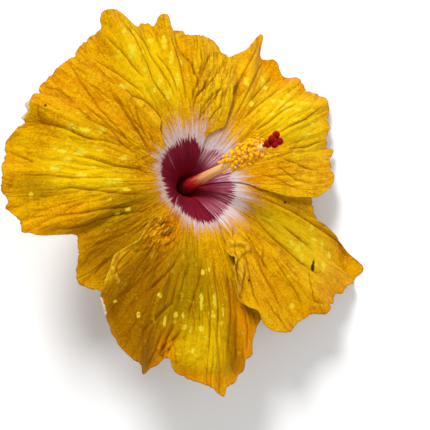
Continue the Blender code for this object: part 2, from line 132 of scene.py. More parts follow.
class Crumple:
    """Smooth random heights over a plane, the same on every run."""

    CELLS = 256

    def __init__(self, seed: int) -> None:
        """Draw the heights at the cells' corners from a seed."""
        self.corners = np.random.default_rng(seed).uniform(-1, 1, (self.CELLS, self.CELLS))

    def at(self, x: Array, y: Array) -> Array:
        """Read the heights at places given in cells.

        Args:
            x: Places across.
            y: Places up.

        Returns:
            The heights, from -1 to 1.
        """
        x, y = np.broadcast_arrays(np.asarray(x, float), np.asarray(y, float))
        column = np.floor(x).astype(int)
        row = np.floor(y).astype(int)
        u = x - column
        v = y - row
        u = u * u * u * (u * (u * 6 - 15) + 10)
        v = v * v * v * (v * (v * 6 - 15) + 10)
        near, far = column % self.CELLS, (column + 1) % self.CELLS
        low, high = row % self.CELLS, (row + 1) % self.CELLS
        bottom = self.corners[near, low] * (1 - u) + self.corners[far, low] * u
        top = self.corners[near, high] * (1 - u) + self.corners[far, high] * u
        return bottom * (1 - v) + top * v


@dataclass(frozen=True)
class BloomForm:
    """The funnel that every petal follows, and how the whole bloom lies."""

    lean: float = math.radians(20.0)
    lean_bearing: float = math.radians(25.0)
    throat: tuple[float, float, float] = (-4.1, 7.2, 15.0)
    funnel_line: Points = (
        (3.6, -6.0), (5.0, 0.0), (7.5, 6.5), (11.0, 12.0), (17.0, 17.0),
        (26.0, 21.0), (38.0, 23.5), (52.0, 24.5), (68.0, 24.5), (100.0, 24.0))
    droop: Points = (
        (-37, 4.5), (-25, 9.3), (-12, 6.5), (0, 6.0), (15, 6.5), (36, 6.5), (60, 12.9),
        (78, 8.0), (107, 3.0), (174, 1.5), (250, 2.0), (300, 2.5), (323, 4.5))
    droop_from: float = 22.0
    droop_span: float = 44.0
    droop_power: float = 1.5
    winding: Points = ((3.6, 0.1), (10.0, 0.4), (20.0, 0.55), (28.0, 0.8), (42.0, 1.7), (100.0, 2.3))
    slope_step: float = 0.3

    def surface(self, reach: Array, bearing: Array) -> Array:
        """Lay the funnel.

        Args:
            reach: Distances from the bloom's axis, in millimetres.
            bearing: Bearings round the bloom's axis, in degrees.

        Returns:
            Its points in the bloom's own frame.
        """
        start = -self.droop[0][0]
        turn = (np.asarray(bearing, float) + start) % 360 - start
        out = np.clip(np.asarray(reach, float) - self.droop_from, 0, None) / self.droop_span
        height = curve(self.funnel_line, reach) - curve(self.droop, turn) * out ** self.droop_power
        angle = np.radians(bearing)
        return np.stack([reach * np.cos(angle), reach * np.sin(angle), height], -1)

    def normal(self, reach: Array, bearing: Array) -> Array:
        """Find which way the funnel faces.

        Args:
            reach: Distances from the bloom's axis, in millimetres.
            bearing: Bearings round the bloom's axis, in degrees.

        Returns:
            Its unit normals, pointing into the bloom's open side.
        """
        step = self.slope_step
        away = self.surface(reach + step, bearing) - self.surface(reach - step, bearing)
        turn = np.degrees(step / reach)
        round_it = self.surface(reach, bearing + turn) - self.surface(reach, bearing - turn)
        return unit(np.cross(away, round_it))

    def on_axis(self, height: float) -> Array:
        """Return a point of the throat's axis in the row frame."""
        return self.to_row(np.array([0.0, 0.0, height]))

    def to_row(self, points: Array) -> Array:
        """Lean points over and stand them in the row frame.

        Args:
            points: Points in the bloom's own frame.

        Returns:
            The same points in the row frame.
        """
        kx = -math.sin(self.lean_bearing)
        ky = math.cos(self.lean_bearing)
        cross = np.array([[0, 0, ky], [0, 0, -kx], [-ky, kx, 0]])
        turn = np.eye(3) + math.sin(self.lean) * cross + (1 - math.cos(self.lean)) * cross @ cross
        return np.asarray(points) @ turn.T + np.array(self.throat)


FORM = BloomForm()


class Tone(Enum):
    """How a soft patch of petal differs from its gold."""

    BRIGHT = 0
    OLIVE = 1
    ORANGE = 2
    # Flap gold: partly the flaps' own tone, partly painted light on flaps that fall in shade.
    OCHRE = 3
    CRUMPLED = 4
    # Darker brown-gold: partly the petal's own tone, partly painted shade on the lower petals.
    UMBER = 5


@dataclass(frozen=True)
class Patch:
    """A soft patch: its tone, where its middle is, how wide and long it is, and its strength."""

    tone: Tone
    bearing: float
    reach: float
    width: float
    length: float
    strength: float

    def weight(self, bearing: Array, reach: Array) -> Array:
        """Return the patch's strength at places on the petal."""
        across = ((bearing - self.bearing) / self.width) ** 2
        return self.strength * np.exp(-across - ((reach - self.reach) / self.length) ** 2)


@dataclass(frozen=True)
class Pleat:
    """One size of random pleats, and the reaches from which they rise and from which their creases are
    darkened as painted shade.

    Its random heights have `turns` cells to a degree and `outs` cells to a millimetre.
    """

    seed: int
    turns: float
    outs: float
    shift: float
    bent: float
    height: float
    rise_from: float
    rise_over: float
    crease_shade: float
    crease_from: float
    crease_width: float = 0.04
    crease_over: float = 26.0

    def at(self, bearing: Array, reach: Array, bend: Array) -> tuple[Array, Array]:
        """Work out this size of pleats.

        Args:
            bearing: Bearings round the bloom's axis, in degrees.
            reach: Distances from the bloom's axis, in millimetres.
            bend: How far the pleats bend aside.

        Returns:
            Their height, and how deep in a crease each place lies, which the finish darkens as painted shade.
        """
        across = bearing * self.turns + bend * self.bent
        fold = np.abs(Crumple(self.seed).at(across, reach * self.outs + self.shift))
        risen = self.height * smooth((reach - self.rise_from) / self.rise_over)
        shade_in_creases = self.crease_shade * smooth((reach - self.crease_from) / self.crease_over)
        return risen * (fold - FOLD_MEAN), shade_in_creases * bell(fold, self.crease_width)


def flat_place(bearing: Array, reach: Array) -> Array:
    """Return the place across and along the bloom's flat plan, in millimetres."""
    angle = np.radians(bearing)
    return np.stack([reach * np.cos(angle), reach * np.sin(angle)], -1)


def line_distance(line: Points, place: Array) -> tuple[Array, Array]:
    """Measure how far places are from a crooked line.

    Args:
        line: Bearings and reaches of the line's corners.
        place: Places on the bloom's flat plan.

    Returns:
        The distance to the line, and the share of the line passed, both for each place.
    """
    corners = flat_place(*np.array(line, float).T)
    best = np.full(len(place), 1e9)
    passed = np.zeros(len(place))
    for n, (start, end) in enumerate(zip(corners[:-1], corners[1:])):
        way = end - start
        share = np.clip(((place - start) @ way) / (way @ way), 0, 1)
        away = np.linalg.norm(place - start - share[:, None] * way, axis=1)
        nearer = away < best
        best[nearer] = away[nearer]
        passed[nearer] = ((n + share) / (len(corners) - 1))[nearer]
    return best, passed


class Socket:
    """A shader value that adds Math nodes when it is used in an expression."""

    def __init__(self, board: "Board", socket: bpy.types.NodeSocket) -> None:
        """Wrap one output of a node on a material's board."""
        self.board = board
        self.socket = socket

    def maths(self, operation: str, *values: "Socket | float") -> "Socket":
        """Add a Math node that starts from this value."""
        node = self.board.node("ShaderNodeMath", {"operation": operation}, [self, *values])
        return Socket(self.board, node.outputs[0])

    def __add__(self, other: "Socket | float") -> "Socket":
        """Add a value."""
        return self.maths("ADD", other)

    def __radd__(self, other: float) -> "Socket":
        """Add to a number."""
        return self.maths("ADD", other)

    def __sub__(self, other: "Socket | float") -> "Socket":
        """Take a value away."""
        return self.maths("SUBTRACT", other)

    def __rsub__(self, other: float) -> "Socket":
        """Take this value from a number."""
        return self.maths("MULTIPLY", -1.0).maths("ADD", other)

    def __mul__(self, other: "Socket | float") -> "Socket":
        """Multiply by a value."""
        return self.maths("MULTIPLY", other)

    def __rmul__(self, other: float) -> "Socket":
        """Multiply a number."""
        return self.maths("MULTIPLY", other)

    def fold(self) -> "Socket":
        """Return how far the value is from a half."""
        return (self - 0.5).maths("ABSOLUTE")

    def band(self, low: float, high: float) -> "Socket":
        """Ease from 0 to 1.

        Args:
            low: The value that gives 0.
            high: The value that gives 1.

        Returns:
            The eased value.
        """
        node = self.board.node(
            "ShaderNodeMapRange", {"interpolation_type": "SMOOTHSTEP"},
            {"Value": self, "From Min": low, "From Max": high, "To Min": 0.0, "To Max": 1.0})
        return Socket(self.board, node.outputs["Result"])


class Board:
    """The node board of one material."""

    def __init__(self, name: str) -> None:
        """Make a Principled material with an empty board.

        Args:
            name: The material's name.
        """
        self.material = bpy.data.materials.new(name)
        self.material.use_nodes = True
        self.tree = self.material.node_tree
        self.shader = self.tree.nodes["Principled BSDF"]

    def node(self, kind: str, settings: dict, inputs: "dict | list") -> bpy.types.Node:
        """Add a node.

        Args:
            kind: The node's type.
            settings: Its properties, set first.
            inputs: Its inputs' values or links, by name or in order.

        Returns:
            The new node.
        """
        made = self.tree.nodes.new(kind)
        for name, value in settings.items():
            setattr(made, name, value)
        pairs = inputs.items() if isinstance(inputs, dict) else enumerate(inputs)
        for key, value in pairs:
            self.feed(made.inputs[key], value)
        return made

    def feed(self, socket: bpy.types.NodeSocket, value: object) -> None:
        """Link or set a node's input.

        Args:
            socket: The input.
            value: A wrapped value to link, or the input's own number or colour.
        """
        if isinstance(value, Socket):
            self.tree.links.new(value.socket, socket)
        elif isinstance(value, tuple) and len(value) == 3 and socket.type == "RGBA":
            socket.default_value = (*value, 1.0)
        else:
            socket.default_value = value

    def attribute(self, name: str) -> tuple[Socket, Socket, Socket]:
        """Read one of the piece's own attributes.

        Args:
            name: The attribute's name.

        Returns:
            Its three numbers.
        """
        read = self.node("ShaderNodeAttribute", {"attribute_name": name}, {})
        split = self.node("ShaderNodeSeparateXYZ", {}, [Socket(self, read.outputs["Vector"])])
        return tuple(Socket(self, split.outputs[i]) for i in range(3))

    def place(self, scale: float) -> Socket:
        """Read the piece's own coordinates.

        Args:
            scale: Units to a millimetre.

        Returns:
            The scaled coordinates.
        """
        read = self.node("ShaderNodeTexCoord", {}, {})
        sized = self.node("ShaderNodeMapping", {},
                          {"Vector": Socket(self, read.outputs["Object"]), "Scale": (scale / MM,) * 3})
        return Socket(self, sized.outputs[0])

    def join(self, x: "Socket | float", y: "Socket | float", z: "Socket | float" = 0.0) -> Socket:
        """Join three values to a vector."""
        return Socket(self, self.node("ShaderNodeCombineXYZ", {}, [x, y, z]).outputs[0])

    def noise(self, at: Socket, detail: float = 2.0, roughness: float = 0.5) -> Socket:
        """Add soft noise with one cell to each unit of its coordinates.

        Args:
            at: The coordinates.
            detail: How many finer layers it has.
            roughness: How strong the finer layers are.

        Returns:
            The noise, about 0.5.
        """
        made = self.node("ShaderNodeTexNoise", {},
                         {"Vector": at, "Scale": 1.0, "Detail": detail, "Roughness": roughness})
        return Socket(self, made.outputs[0])

    def cells(self, at: Socket) -> Socket:
        """Return the distance to the nearest of scattered points, one to each unit."""
        made = self.node("ShaderNodeTexVoronoi", {}, {"Vector": at, "Scale": 1.0})
        return Socket(self, made.outputs["Distance"])

    def mix(self, share: "Socket | float", first: object, second: object, blend: str = "MIX") -> Socket:
        """Mix two colours.

        Args:
            share: How much of the second one shows.
            first: The first colour.
            second: The second colour.
            blend: How the second is laid over the first.

        Returns:
            The mixed colour.
        """
        made = self.node("ShaderNodeMix", {"data_type": "RGBA", "blend_type": blend},
                         {0: share, 6: first, 7: second})
        return Socket(self, made.outputs[2])

    def bump(self, height: Socket, depth_mm: float, strength: float = 1.0) -> Socket:
        """Turn a height into a normal.

        Args:
            height: The height.
            depth_mm: Millimetres to one unit of height.
            strength: How much of the bump shows.

        Returns:
            The normal.
        """
        made = self.node("ShaderNodeBump", {},
                         {"Height": height, "Distance": depth_mm * MM, "Strength": strength})
        return Socket(self, made.outputs[0])

    def finish(self, values: dict) -> Material:
        """Feed the shader's sockets.

        Args:
            values: Values or links, by the sockets' names.

        Returns:
            The material.
        """
        for name, value in values.items():
            self.feed(self.shader.inputs[name], value)
        return self.material


@dataclass(frozen=True)
class PetalFinish:
    """The upper face of a petal: crepe gold, pale flecks, a pale halo and a feathered crimson eye, with
    painted shade and painted highlights.
    """

    gold: Colour = (0.98, 0.525, 0.0006)
    deep_gold: Colour = (0.70, 0.28, 0.0004)
    # The petal's own bright yellow patches, also used as painted highlight on the crepe's crests.
    bright: Colour = (1.0, 0.63, 0.002)
    olive: Colour = (0.44, 0.235, 0.0003)
    # Darker brown-gold: partly the petals' own tone, partly painted shade on the lower petals, away from the
    # light.
    umber_and_shade: Colour = (0.36, 0.145, 0.0003)
    orange: Colour = (0.86, 0.32, 0.0012)
    # Flap gold: partly the flaps' own tone, partly painted light on flaps that fall in shade.
    ochre_and_flap_light: Colour = (0.98, 0.54, 0.008)
    rim: Colour = (0.42, 0.17, 0.02)
    # Painted highlight on the crests of curls and along the near-side rims.
    lip: Colour = (1.0, 0.62, 0.04)
    fleck: Colour = (1.0, 0.80, 0.04)
    # Painted shade: the brown that darkens creases and folds where shade falls.
    crease_shade: Colour = (0.36, 0.105, 0.0003)
    # Painted shade, multiplied into the hollows of the crepe.
    shade: Colour = (0.76, 0.54, 0.40)
    pale: Colour = (0.86, 0.72, 0.52)
    # Dark specks: partly the petal's own small dark dots, partly painted shade in the pits of curled lips.
    speck_and_pit_shade: Colour = (0.075, 0.02, 0.012)
    halo: Colour = (0.84, 0.73, 0.76)
    halo_dim: Colour = (0.78, 0.60, 0.58)
    halo_warm: Colour = (0.74, 0.38, 0.21)
    eye: Colour = (0.18, 0.003, 0.02)
    eye_light: Colour = (0.38, 0.02, 0.065)
    # Painted light: a lighter red deep in the throat, standing in for light that reaches into it.
    throat_painted_light: Colour = (0.50, 0.012, 0.03)
    # Rose of the eye: partly its own colour, partly painted sheen.
    eye_rose: Colour = (0.37, 0.045, 0.105)
    # Painted highlight: pale streaks on the eye's folds and a pale near-side rim.
    eye_highlight: Colour = (0.88, 0.58, 0.62)
    roughness: float = 0.5

    def wrinkles(self, board: Board, bearing: Socket, reach: Socket,
                 crumpled: Socket) -> tuple[Socket, Socket]:
        """Build the crepe of fine wrinkles.

        Args:
            board: The material's node board.
            bearing: The bearing round the bloom's axis.
            reach: The distance from that axis.
            crumpled: How crumpled the petal is.

        Returns:
            The crepe's height, and thin creases from 0 to 1.
        """
        warp = board.noise(board.join(bearing * 0.12, reach * 0.05, 1.0), 1.0) * 1.6
        ribs = board.noise(board.join(bearing * 0.42 + warp, reach * 0.05, 2.0), 3.0, 0.62)
        lines = board.noise(board.join(bearing * 0.3 + warp, reach * 0.035, 7.0), 1.0).fold()
        knots = board.noise(board.join(bearing * 0.21 + warp, reach * 0.1, 12.0), 3.0, 0.6).fold()
        crepe = board.noise(board.place(0.5), 6.0, 0.78)
        breaks = board.noise(board.join(bearing * 0.16, reach * 0.09, 8.0), 1.0).band(0.45, 0.65)
        fine = (1 - lines.band(0.0, 0.03)) * reach.band(20.0, 44.0) * breaks * (crumpled + 0.6)
        fine = fine + (1 - knots.band(0.0, 0.04)) * crumpled * 0.8
        height = ribs * reach.band(8.0, 40.0) * (crumpled * 0.5 + 0.6) + lines.band(0.0, 0.14) * 0.2
        return height + knots.band(0.0, 0.12) * crumpled * 0.6 + crepe * 1.3, fine

    def golds(self, board: Board, bearing: Socket, reach: Socket, crest: Socket, height: Socket,
              fine: Socket) -> Socket:
        """Build the petal's golds with their patches, veins and flecks, and their painted shade and
        highlights.

        Args:
            board: The material's node board.
            bearing: The bearing round the bloom's axis.
            reach: The distance from that axis.
            crest: How near the crest of a curl is.
            height: The crepe's height.
            fine: The crepe's thin creases.

        Returns:
            The colour.
        """
        bright, olive, orange = board.attribute("petal_tones")
        margin, crease_shade, ochre_and_flap_light = board.attribute("petal_marks")
        flecked, speck_and_pit_shade, side = board.attribute("petal_spots")
        crumpled, pale, umber_and_shade = board.attribute("petal_more")
        streak = board.noise(board.join(bearing * 0.5, reach * 0.05), 3.0, 0.65)
        blotch = board.noise(board.join(bearing * 0.11, reach * 0.09, 3.0), 2.0)
        mottle = board.noise(board.place(0.4), 4.0, 0.65)
        torn = board.noise(board.join(bearing * 0.6, reach * 0.4, 21.0), 3.0, 0.7)
        small = board.noise(board.join(bearing * 0.3 + streak * 1.5, reach * 0.17, 11.0), 2.0, 0.6)
        uneven = blotch + streak * 0.8 + mottle * 0.5 - 0.65
        colour = board.mix(uneven.band(0.25, 0.8), self.deep_gold, self.gold)
        lit = bright * (0.25 + streak * 0.8 + mottle)
        colour = board.mix(lit.band(0.15, 1.1), colour, self.bright)
        edge = (1 - margin.band(0.0, 6.0)) * (0.2 + streak)
        for amount, full, tone in (
                (olive * (0.35 + blotch * 0.6 + mottle * 0.7), 1.1, self.olive),
                (umber_and_shade * (0.3 + streak * 0.7 + mottle * 0.6), 1.1, self.umber_and_shade),
                (orange * (0.5 + blotch) + edge * 0.6, 1.2, self.orange),
                (ochre_and_flap_light * (0.4 + mottle * 1.2), 1.1, self.ochre_and_flap_light)):
            colour = board.mix(amount.band(0.0, full), colour, tone)
        colour = board.mix((1 - margin.band(0.0, 0.8)) * (0.2 + torn * 0.8), colour, self.rim)
        # Painted highlight: a pale line along the near-side rim and on the crests of curls.
        near_rim_highlight = (1 - side.band(0.2, 1.0)) * reach.band(24.0, 32.0) * torn.band(0.42, 0.6)
        colour = board.mix((crest * 0.5).maths("MAXIMUM", near_rim_highlight * 0.6), colour, self.lip)
        # Painted light from the crepe's relief: crests lighter as painted highlight, hollows and crumpled
        # parts darker as painted shade, with a random grit.
        grit = board.noise(board.place(1.3), 3.0, 0.75)
        relief = height - crumpled * 0.45 + (grit - 0.5) * 2.4
        plain = 1 - (umber_and_shade + olive).band(0.0, 0.9) * 0.8
        colour = board.mix((relief - 1.0).band(0.0, 0.4) * 0.75 * plain, colour, self.bright)
        colour = board.mix((1.0 - relief).band(0.0, 0.5) * 0.8, colour, self.shade, "MULTIPLY")
        ragged = (flecked * (torn * 4.6 - 1.25)).band(0.35, 0.65)
        small = small.band(0.62, 0.7) * margin.band(3.0, 14.0) * reach.band(26.0, 40.0)
        small = small * (0.25 + bright * 0.6)
        colour = board.mix(small.maths("MAXIMUM", ragged * 0.85), colour, self.fleck)
        # Painted shade in the creases and in the crepe's thin creases.
        colour = board.mix(crease_shade * 0.9 + fine * 0.5, colour, self.crease_shade)
        colour = board.mix((pale * 1.5 - margin * 0.35).band(0.2, 0.6), colour, self.pale)
        # Dark specks, partly painted shade in the pits of curled lips.
        return board.mix(speck_and_pit_shade.band(0.3, 0.6), colour, self.speck_and_pit_shade)

    def throat(self, board: Board, bearing: Socket, reach: Socket, colour: Socket) -> Socket:
        """Lay the pale halo and the crimson eye over the golds.

        Args:
            board: The material's node board.
            bearing: The bearing round the bloom's axis.
            reach: The distance from that axis.
            colour: The golds.

        Returns:
            The petal's colour.
        """
        offset, halo, rose_and_sheen = board.attribute("petal_throat")
        _, crease_shade, _ = board.attribute("petal_marks")
        _, _, side = board.attribute("petal_spots")
        rays = board.noise(board.join(bearing * 0.22, reach * 0.02, 5.0), 1.0).fold()
        rays = (1 - rays * 2.0).maths("POWER", 9.0)
        teeth = board.noise(board.join(bearing * 0.5, reach * 0.05, 15.0), 1.0)
        hairs = board.noise(board.join(bearing * 1.3, reach * 0.06, 9.0), 2.0, 0.65)
        strands = board.noise(board.join(bearing * 0.75, reach * 0.03, 27.0), 2.0, 0.7)
        spread = halo - rays * 0.95 - (teeth - 0.5) * 1.2 - (hairs - 0.5) * 1.0
        warm = board.mix((1 - spread.band(0.0, 1.2)) * 0.75, colour, self.halo_warm)
        core = halo - rays * 0.65 - (strands - 0.5) * 1.6 - (hairs - 0.5) * 0.9
        # The halo is dimmer and warmer on petals with little rose and sheen.
        shaded = board.mix(rose_and_sheen.band(0.1, 0.7), self.halo_dim, self.halo)
        # Painted shade in the halo's creases, with the halo's dark hair lines.
        shaded = board.mix(crease_shade * 0.5 + (1 - hairs.band(0.3, 0.6)) * 0.2, shaded, self.crease_shade)
        colour = board.mix((1 - core.band(-0.1, 0.85)) * 0.95, warm, shaded)
        # Rose tint of the eye: partly its own colour, partly painted sheen.
        tint = (rose_and_sheen * (0.2 + strands * 1.3)).band(0.25, 1.2)
        silky = (strands * 0.6 + hairs * 0.6).band(0.5, 0.78) * reach.band(6.0, 14.0) * 0.8
        crimson = board.mix(silky, self.eye, self.eye_light)
        crimson = board.mix(tint, crimson, self.eye_rose)
        # Painted highlight: pale gleaming streaks along the eye's folds, stronger on the rosier petals.
        gleam = (hairs * 0.6 + strands * 0.7).band(0.6, 0.78) * (rose_and_sheen - 0.55) * 1.3 * reach.band(8.0, 17.0)
        crimson = board.mix((gleam * 1.1).band(0.0, 1.0), crimson, self.eye_highlight)
        # Painted light deep in the throat.
        crimson = board.mix((1 - reach.band(4.0, 12.0)) * 0.85, crimson, self.throat_painted_light)
        # Painted highlight along the eye's near-side rim.
        crimson = board.mix((1 - side.band(0.1, 0.5)) * reach.band(9.0, 14.0) * 0.4, crimson, self.eye_highlight)
        feather = offset - (teeth - 0.5) * 8.5 - (hairs - 0.5) * 6.5
        return board.mix(1 - feather.band(-0.4, 0.4), colour, crimson)

    def material(self) -> Material:
        """Build the finish.

        Returns:
            The material.
        """
        board = Board("petal_face")
        bearing, reach, crest = board.attribute("petal_place")
        crumpled, _, _ = board.attribute("petal_more")
        height, fine = self.wrinkles(board, bearing, reach, crumpled)
        golds = self.golds(board, bearing, reach, crest, height, fine)
        grain = board.noise(board.place(2.4), 2.0)
        return board.finish({
            "Base Color": self.throat(board, bearing, reach, golds),
            "Roughness": self.roughness - 0.14 + grain * 0.24,
            "Normal": board.bump(height + grain * 0.5 - fine * 0.6, 1.2),
            "Specular IOR Level": 0.2,
            "Specular Tint": (1.0, 0.5, 0.02, 1.0),
        })


@dataclass(frozen=True)
class PetalBackFinish:
    """The under side of a petal: paler yellow with raised veins and a pink flush at the claw."""

    pale: Colour = (0.84, 0.50, 0.05)
    deep: Colour = (0.74, 0.34, 0.012)
    vein: Colour = (0.60, 0.36, 0.05)
    flush: Colour = (0.50, 0.16, 0.14)
    roughness: float = 0.6

    def material(self) -> Material:
        """Build the finish.

        Returns:
            The material.
        """
        board = Board("petal_back")
        bearing, reach, _ = board.attribute("petal_place")
        offset, _, _ = board.attribute("petal_throat")
        _, crease_shade, _ = board.attribute("petal_marks")
        blotch = board.noise(board.join(bearing * 0.15, reach * 0.08, 3.0), 3.0)
        vein = board.noise(board.join(bearing * 0.8, reach * 0.04, 5.0), 2.0, 0.6)
        colour = board.mix(blotch.band(0.3, 0.7), self.deep, self.pale)
        colour = board.mix(vein.band(0.52, 0.66) * 0.6, colour, self.vein)
        colour = board.mix((1 - offset.band(-4.0, 10.0)) * 0.7, colour, self.flush)
        return board.finish({
            # Painted shade in the creases of the under side.
            "Base Color": board.mix(crease_shade * 0.25, colour, self.deep),
            "Roughness": self.roughness - 0.1 + blotch * 0.2,
            "Normal": board.bump(vein, 0.5, 0.8),
            "Specular IOR Level": 0.25,
        })


@dataclass(frozen=True)
class ColumnFinish:
    """The stamens' tube: crimson at its foot, through peach to cream."""

    crimson: Colour = (0.30, 0.003, 0.014)
    scarlet: Colour = (0.55, 0.010, 0.012)
    peach: Colour = (0.84, 0.40, 0.14)
    cream: Colour = (0.90, 0.58, 0.22)
    roughness: float = 0.42

    def material(self) -> Material:
        """Build the finish.

        Returns:
            The material.
        """
        board = Board("stamen_tube")
        share, turn, around = board.attribute("tube_place")
        rays = board.noise(board.join(turn * 1.6, around * 1.6, share * 6.0), 2.0)
        along = share + (rays - 0.5) * 0.32
        colour = board.mix(along.band(0.22, 0.33), self.crimson, self.scarlet)
        colour = board.mix(along.band(0.31, 0.46), colour, self.peach)
        colour = board.mix(along.band(0.42, 0.75), colour, self.cream)
        grain = board.noise(board.place(1.5), 3.0)
        return board.finish({
            "Base Color": board.mix(grain.band(0.5, 0.8) * 0.3, colour, self.scarlet),
            "Roughness": self.roughness - 0.1 + grain * 0.2,
            "Normal": board.bump(rays + grain * 0.4, 0.12),
            "Coat Weight": 0.08,
        })


@dataclass(frozen=True)
class SpeckledFinish:
    """A small organ's finish: two colours, a grain, and how rough and velvety it is."""

    name: str
    light: Colour
    dark: Colour
    grain_per_mm: float
    depth_mm: float
    roughness: float

    def material(self) -> Material:
        """Build the finish.

        Returns:
            The material.
        """
        board = Board(self.name)
        grains = board.cells(board.place(self.grain_per_mm))
        mottle = board.noise(board.place(self.grain_per_mm * 0.3), 2.0)
        tint = (grains * 0.7 + mottle * 0.6).band(0.25, 0.85)
        return board.finish({
            "Base Color": board.mix(tint, self.light, self.dark),
            "Roughness": self.roughness - 0.1 + mottle * 0.2,
            "Normal": board.bump(1 - grains, self.depth_mm),
            "Specular IOR Level": 0.12,
        })


@dataclass(frozen=True)
class GreenFinish:
    """Calyx, bracts and stalk: ribbed leaf green, flushed in soft patches."""

    green: Colour = (0.13, 0.25, 0.035)
    deep: Colour = (0.055, 0.13, 0.02)
    pale: Colour = (0.30, 0.40, 0.10)
    flush: Colour = (0.22, 0.09, 0.035)
    cut: Colour = (0.42, 0.45, 0.20)
    # Painted shade: near black on the cup's inside, seen in the gaps between the petals' claws.
    inner: Colour = (0.03, 0.035, 0.008)
    roughness: float = 0.55

    def material(self) -> Material:
        """Build the finish.

        Returns:
            The material.
        """
        board = Board("calyx_green")
        turn, inner, cut = board.attribute("green_place")
        mottle = board.noise(board.place(0.22), 3.0)
        rib = board.noise(board.join(turn * 0.35, mottle * 0.6), 2.0)
        colour = board.mix(mottle.band(0.35, 0.65), self.deep, self.green)
        colour = board.mix(rib.band(0.55, 0.75) * 0.7, colour, self.pale)
        colour = board.mix((mottle * rib).band(0.28, 0.42) * 0.5, colour, self.flush)
        grain = board.noise(board.place(3.0), 2.0)
        return board.finish({
            # Painted shade on the cup's inside, and the pale cut end of the stalk.
            "Base Color": board.mix(inner, board.mix(cut, colour, self.cut), self.inner),
            "Roughness": self.roughness - 0.08 + grain * 0.16,
            "Normal": board.bump(rib + grain * 0.3, 0.25),
        })


@dataclass(frozen=True)
class TableFinish:
    """A plain pale table top."""

    colour: Colour = (0.93, 0.93, 0.93)

    def material(self) -> Material:
        """Build the finish."""
        return Board("table").finish({"Base Color": self.colour, "Roughness": 0.75})


def grid_piece(name: str, rows: int, columns: int, shape: Callable, marks: Callable,
               closed: bool = False) -> Piece:
    """Add a grid, lay its points on a surface and write its attributes.

    Args:
        name: The piece's name.
        rows: Cells along the grid's X, which become the first share.
        columns: Cells along its Y, which become the second share.
        shape: Takes both shares as arrays and returns points in millimetres in the row frame.
        marks: Takes both shares and returns three numbers a point for each attribute's name.
        closed: Join the first and last columns and any rows drawn to a point.

    Returns:
        The new object, at the origin.
    """
    bpy.ops.object.select_all(action="DESELECT")
    bpy.ops.mesh.primitive_grid_add(x_subdivisions=rows, y_subdivisions=columns, size=2.0)
    made = bpy.context.object
    made.name = name
    made.data.name = name
    flat = np.empty(len(made.data.vertices) * 3)
    made.data.vertices.foreach_get("co", flat)
    flat = flat.reshape(-1, 3)
    first, second = (flat[:, 0] + 1) / 2, (flat[:, 1] + 1) / 2
    made.data.vertices.foreach_set("co", (np.asarray(shape(first, second)) * MM).ravel())
    for title, values in marks(first, second).items():
        layer = made.data.attributes.new(title, "FLOAT_VECTOR", "POINT")
        stacked = np.stack(np.broadcast_arrays(*values), -1)
        layer.data.foreach_set("vector", stacked.astype(np.float32).ravel())
    made.data.update()
    if closed:
        bpy.ops.object.mode_set(mode="EDIT")
        bpy.ops.mesh.select_all(action="SELECT")
        bpy.ops.mesh.remove_doubles(threshold=0.00001)
        bpy.ops.mesh.normals_make_consistent(inside=False)
        bpy.ops.object.mode_set(mode="OBJECT")
    return made


def apply_modifier(piece: Piece, kind: str, settings: dict) -> None:
    """Add a modifier and apply it.

    Args:
        piece: The object it works on.
        kind: The modifier's type.
        settings: Values of its properties.
    """
    modifier = piece.modifiers.new(kind.lower(), kind)
    for name, value in settings.items():
        setattr(modifier, name, value)
    bpy.context.view_layer.objects.active = piece
    bpy.ops.object.modifier_apply(modifier=modifier.name)


def join_pieces(pieces: Sequence[Piece], name: str) -> Piece:
    """Join several objects into one.

    Args:
        pieces: The objects, of which the first one stays.
        name: The joined object's name.

    Returns:
        The joined object.
    """
    bpy.ops.object.select_all(action="DESELECT")
    for piece in pieces:
        piece.select_set(True)
    bpy.context.view_layer.objects.active = pieces[0]
    bpy.ops.object.join()
    pieces[0].name = name
    pieces[0].data.name = name
    return pieces[0]


def dress(piece: Piece, materials: Sequence[Material], node: str) -> None:
    """Give a piece its materials and its place on the body, and hide the CAD node it stands for.

    Args:
        piece: The object to dress.
        materials: Its materials, in order.
        node: The CAD node that it replaces.
    """
    for material in materials:
        piece.data.materials.append(material)
    piece.data.polygons.foreach_set("use_smooth", [True] * len(piece.data.polygons))
    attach(piece, "root")
    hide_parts(node)


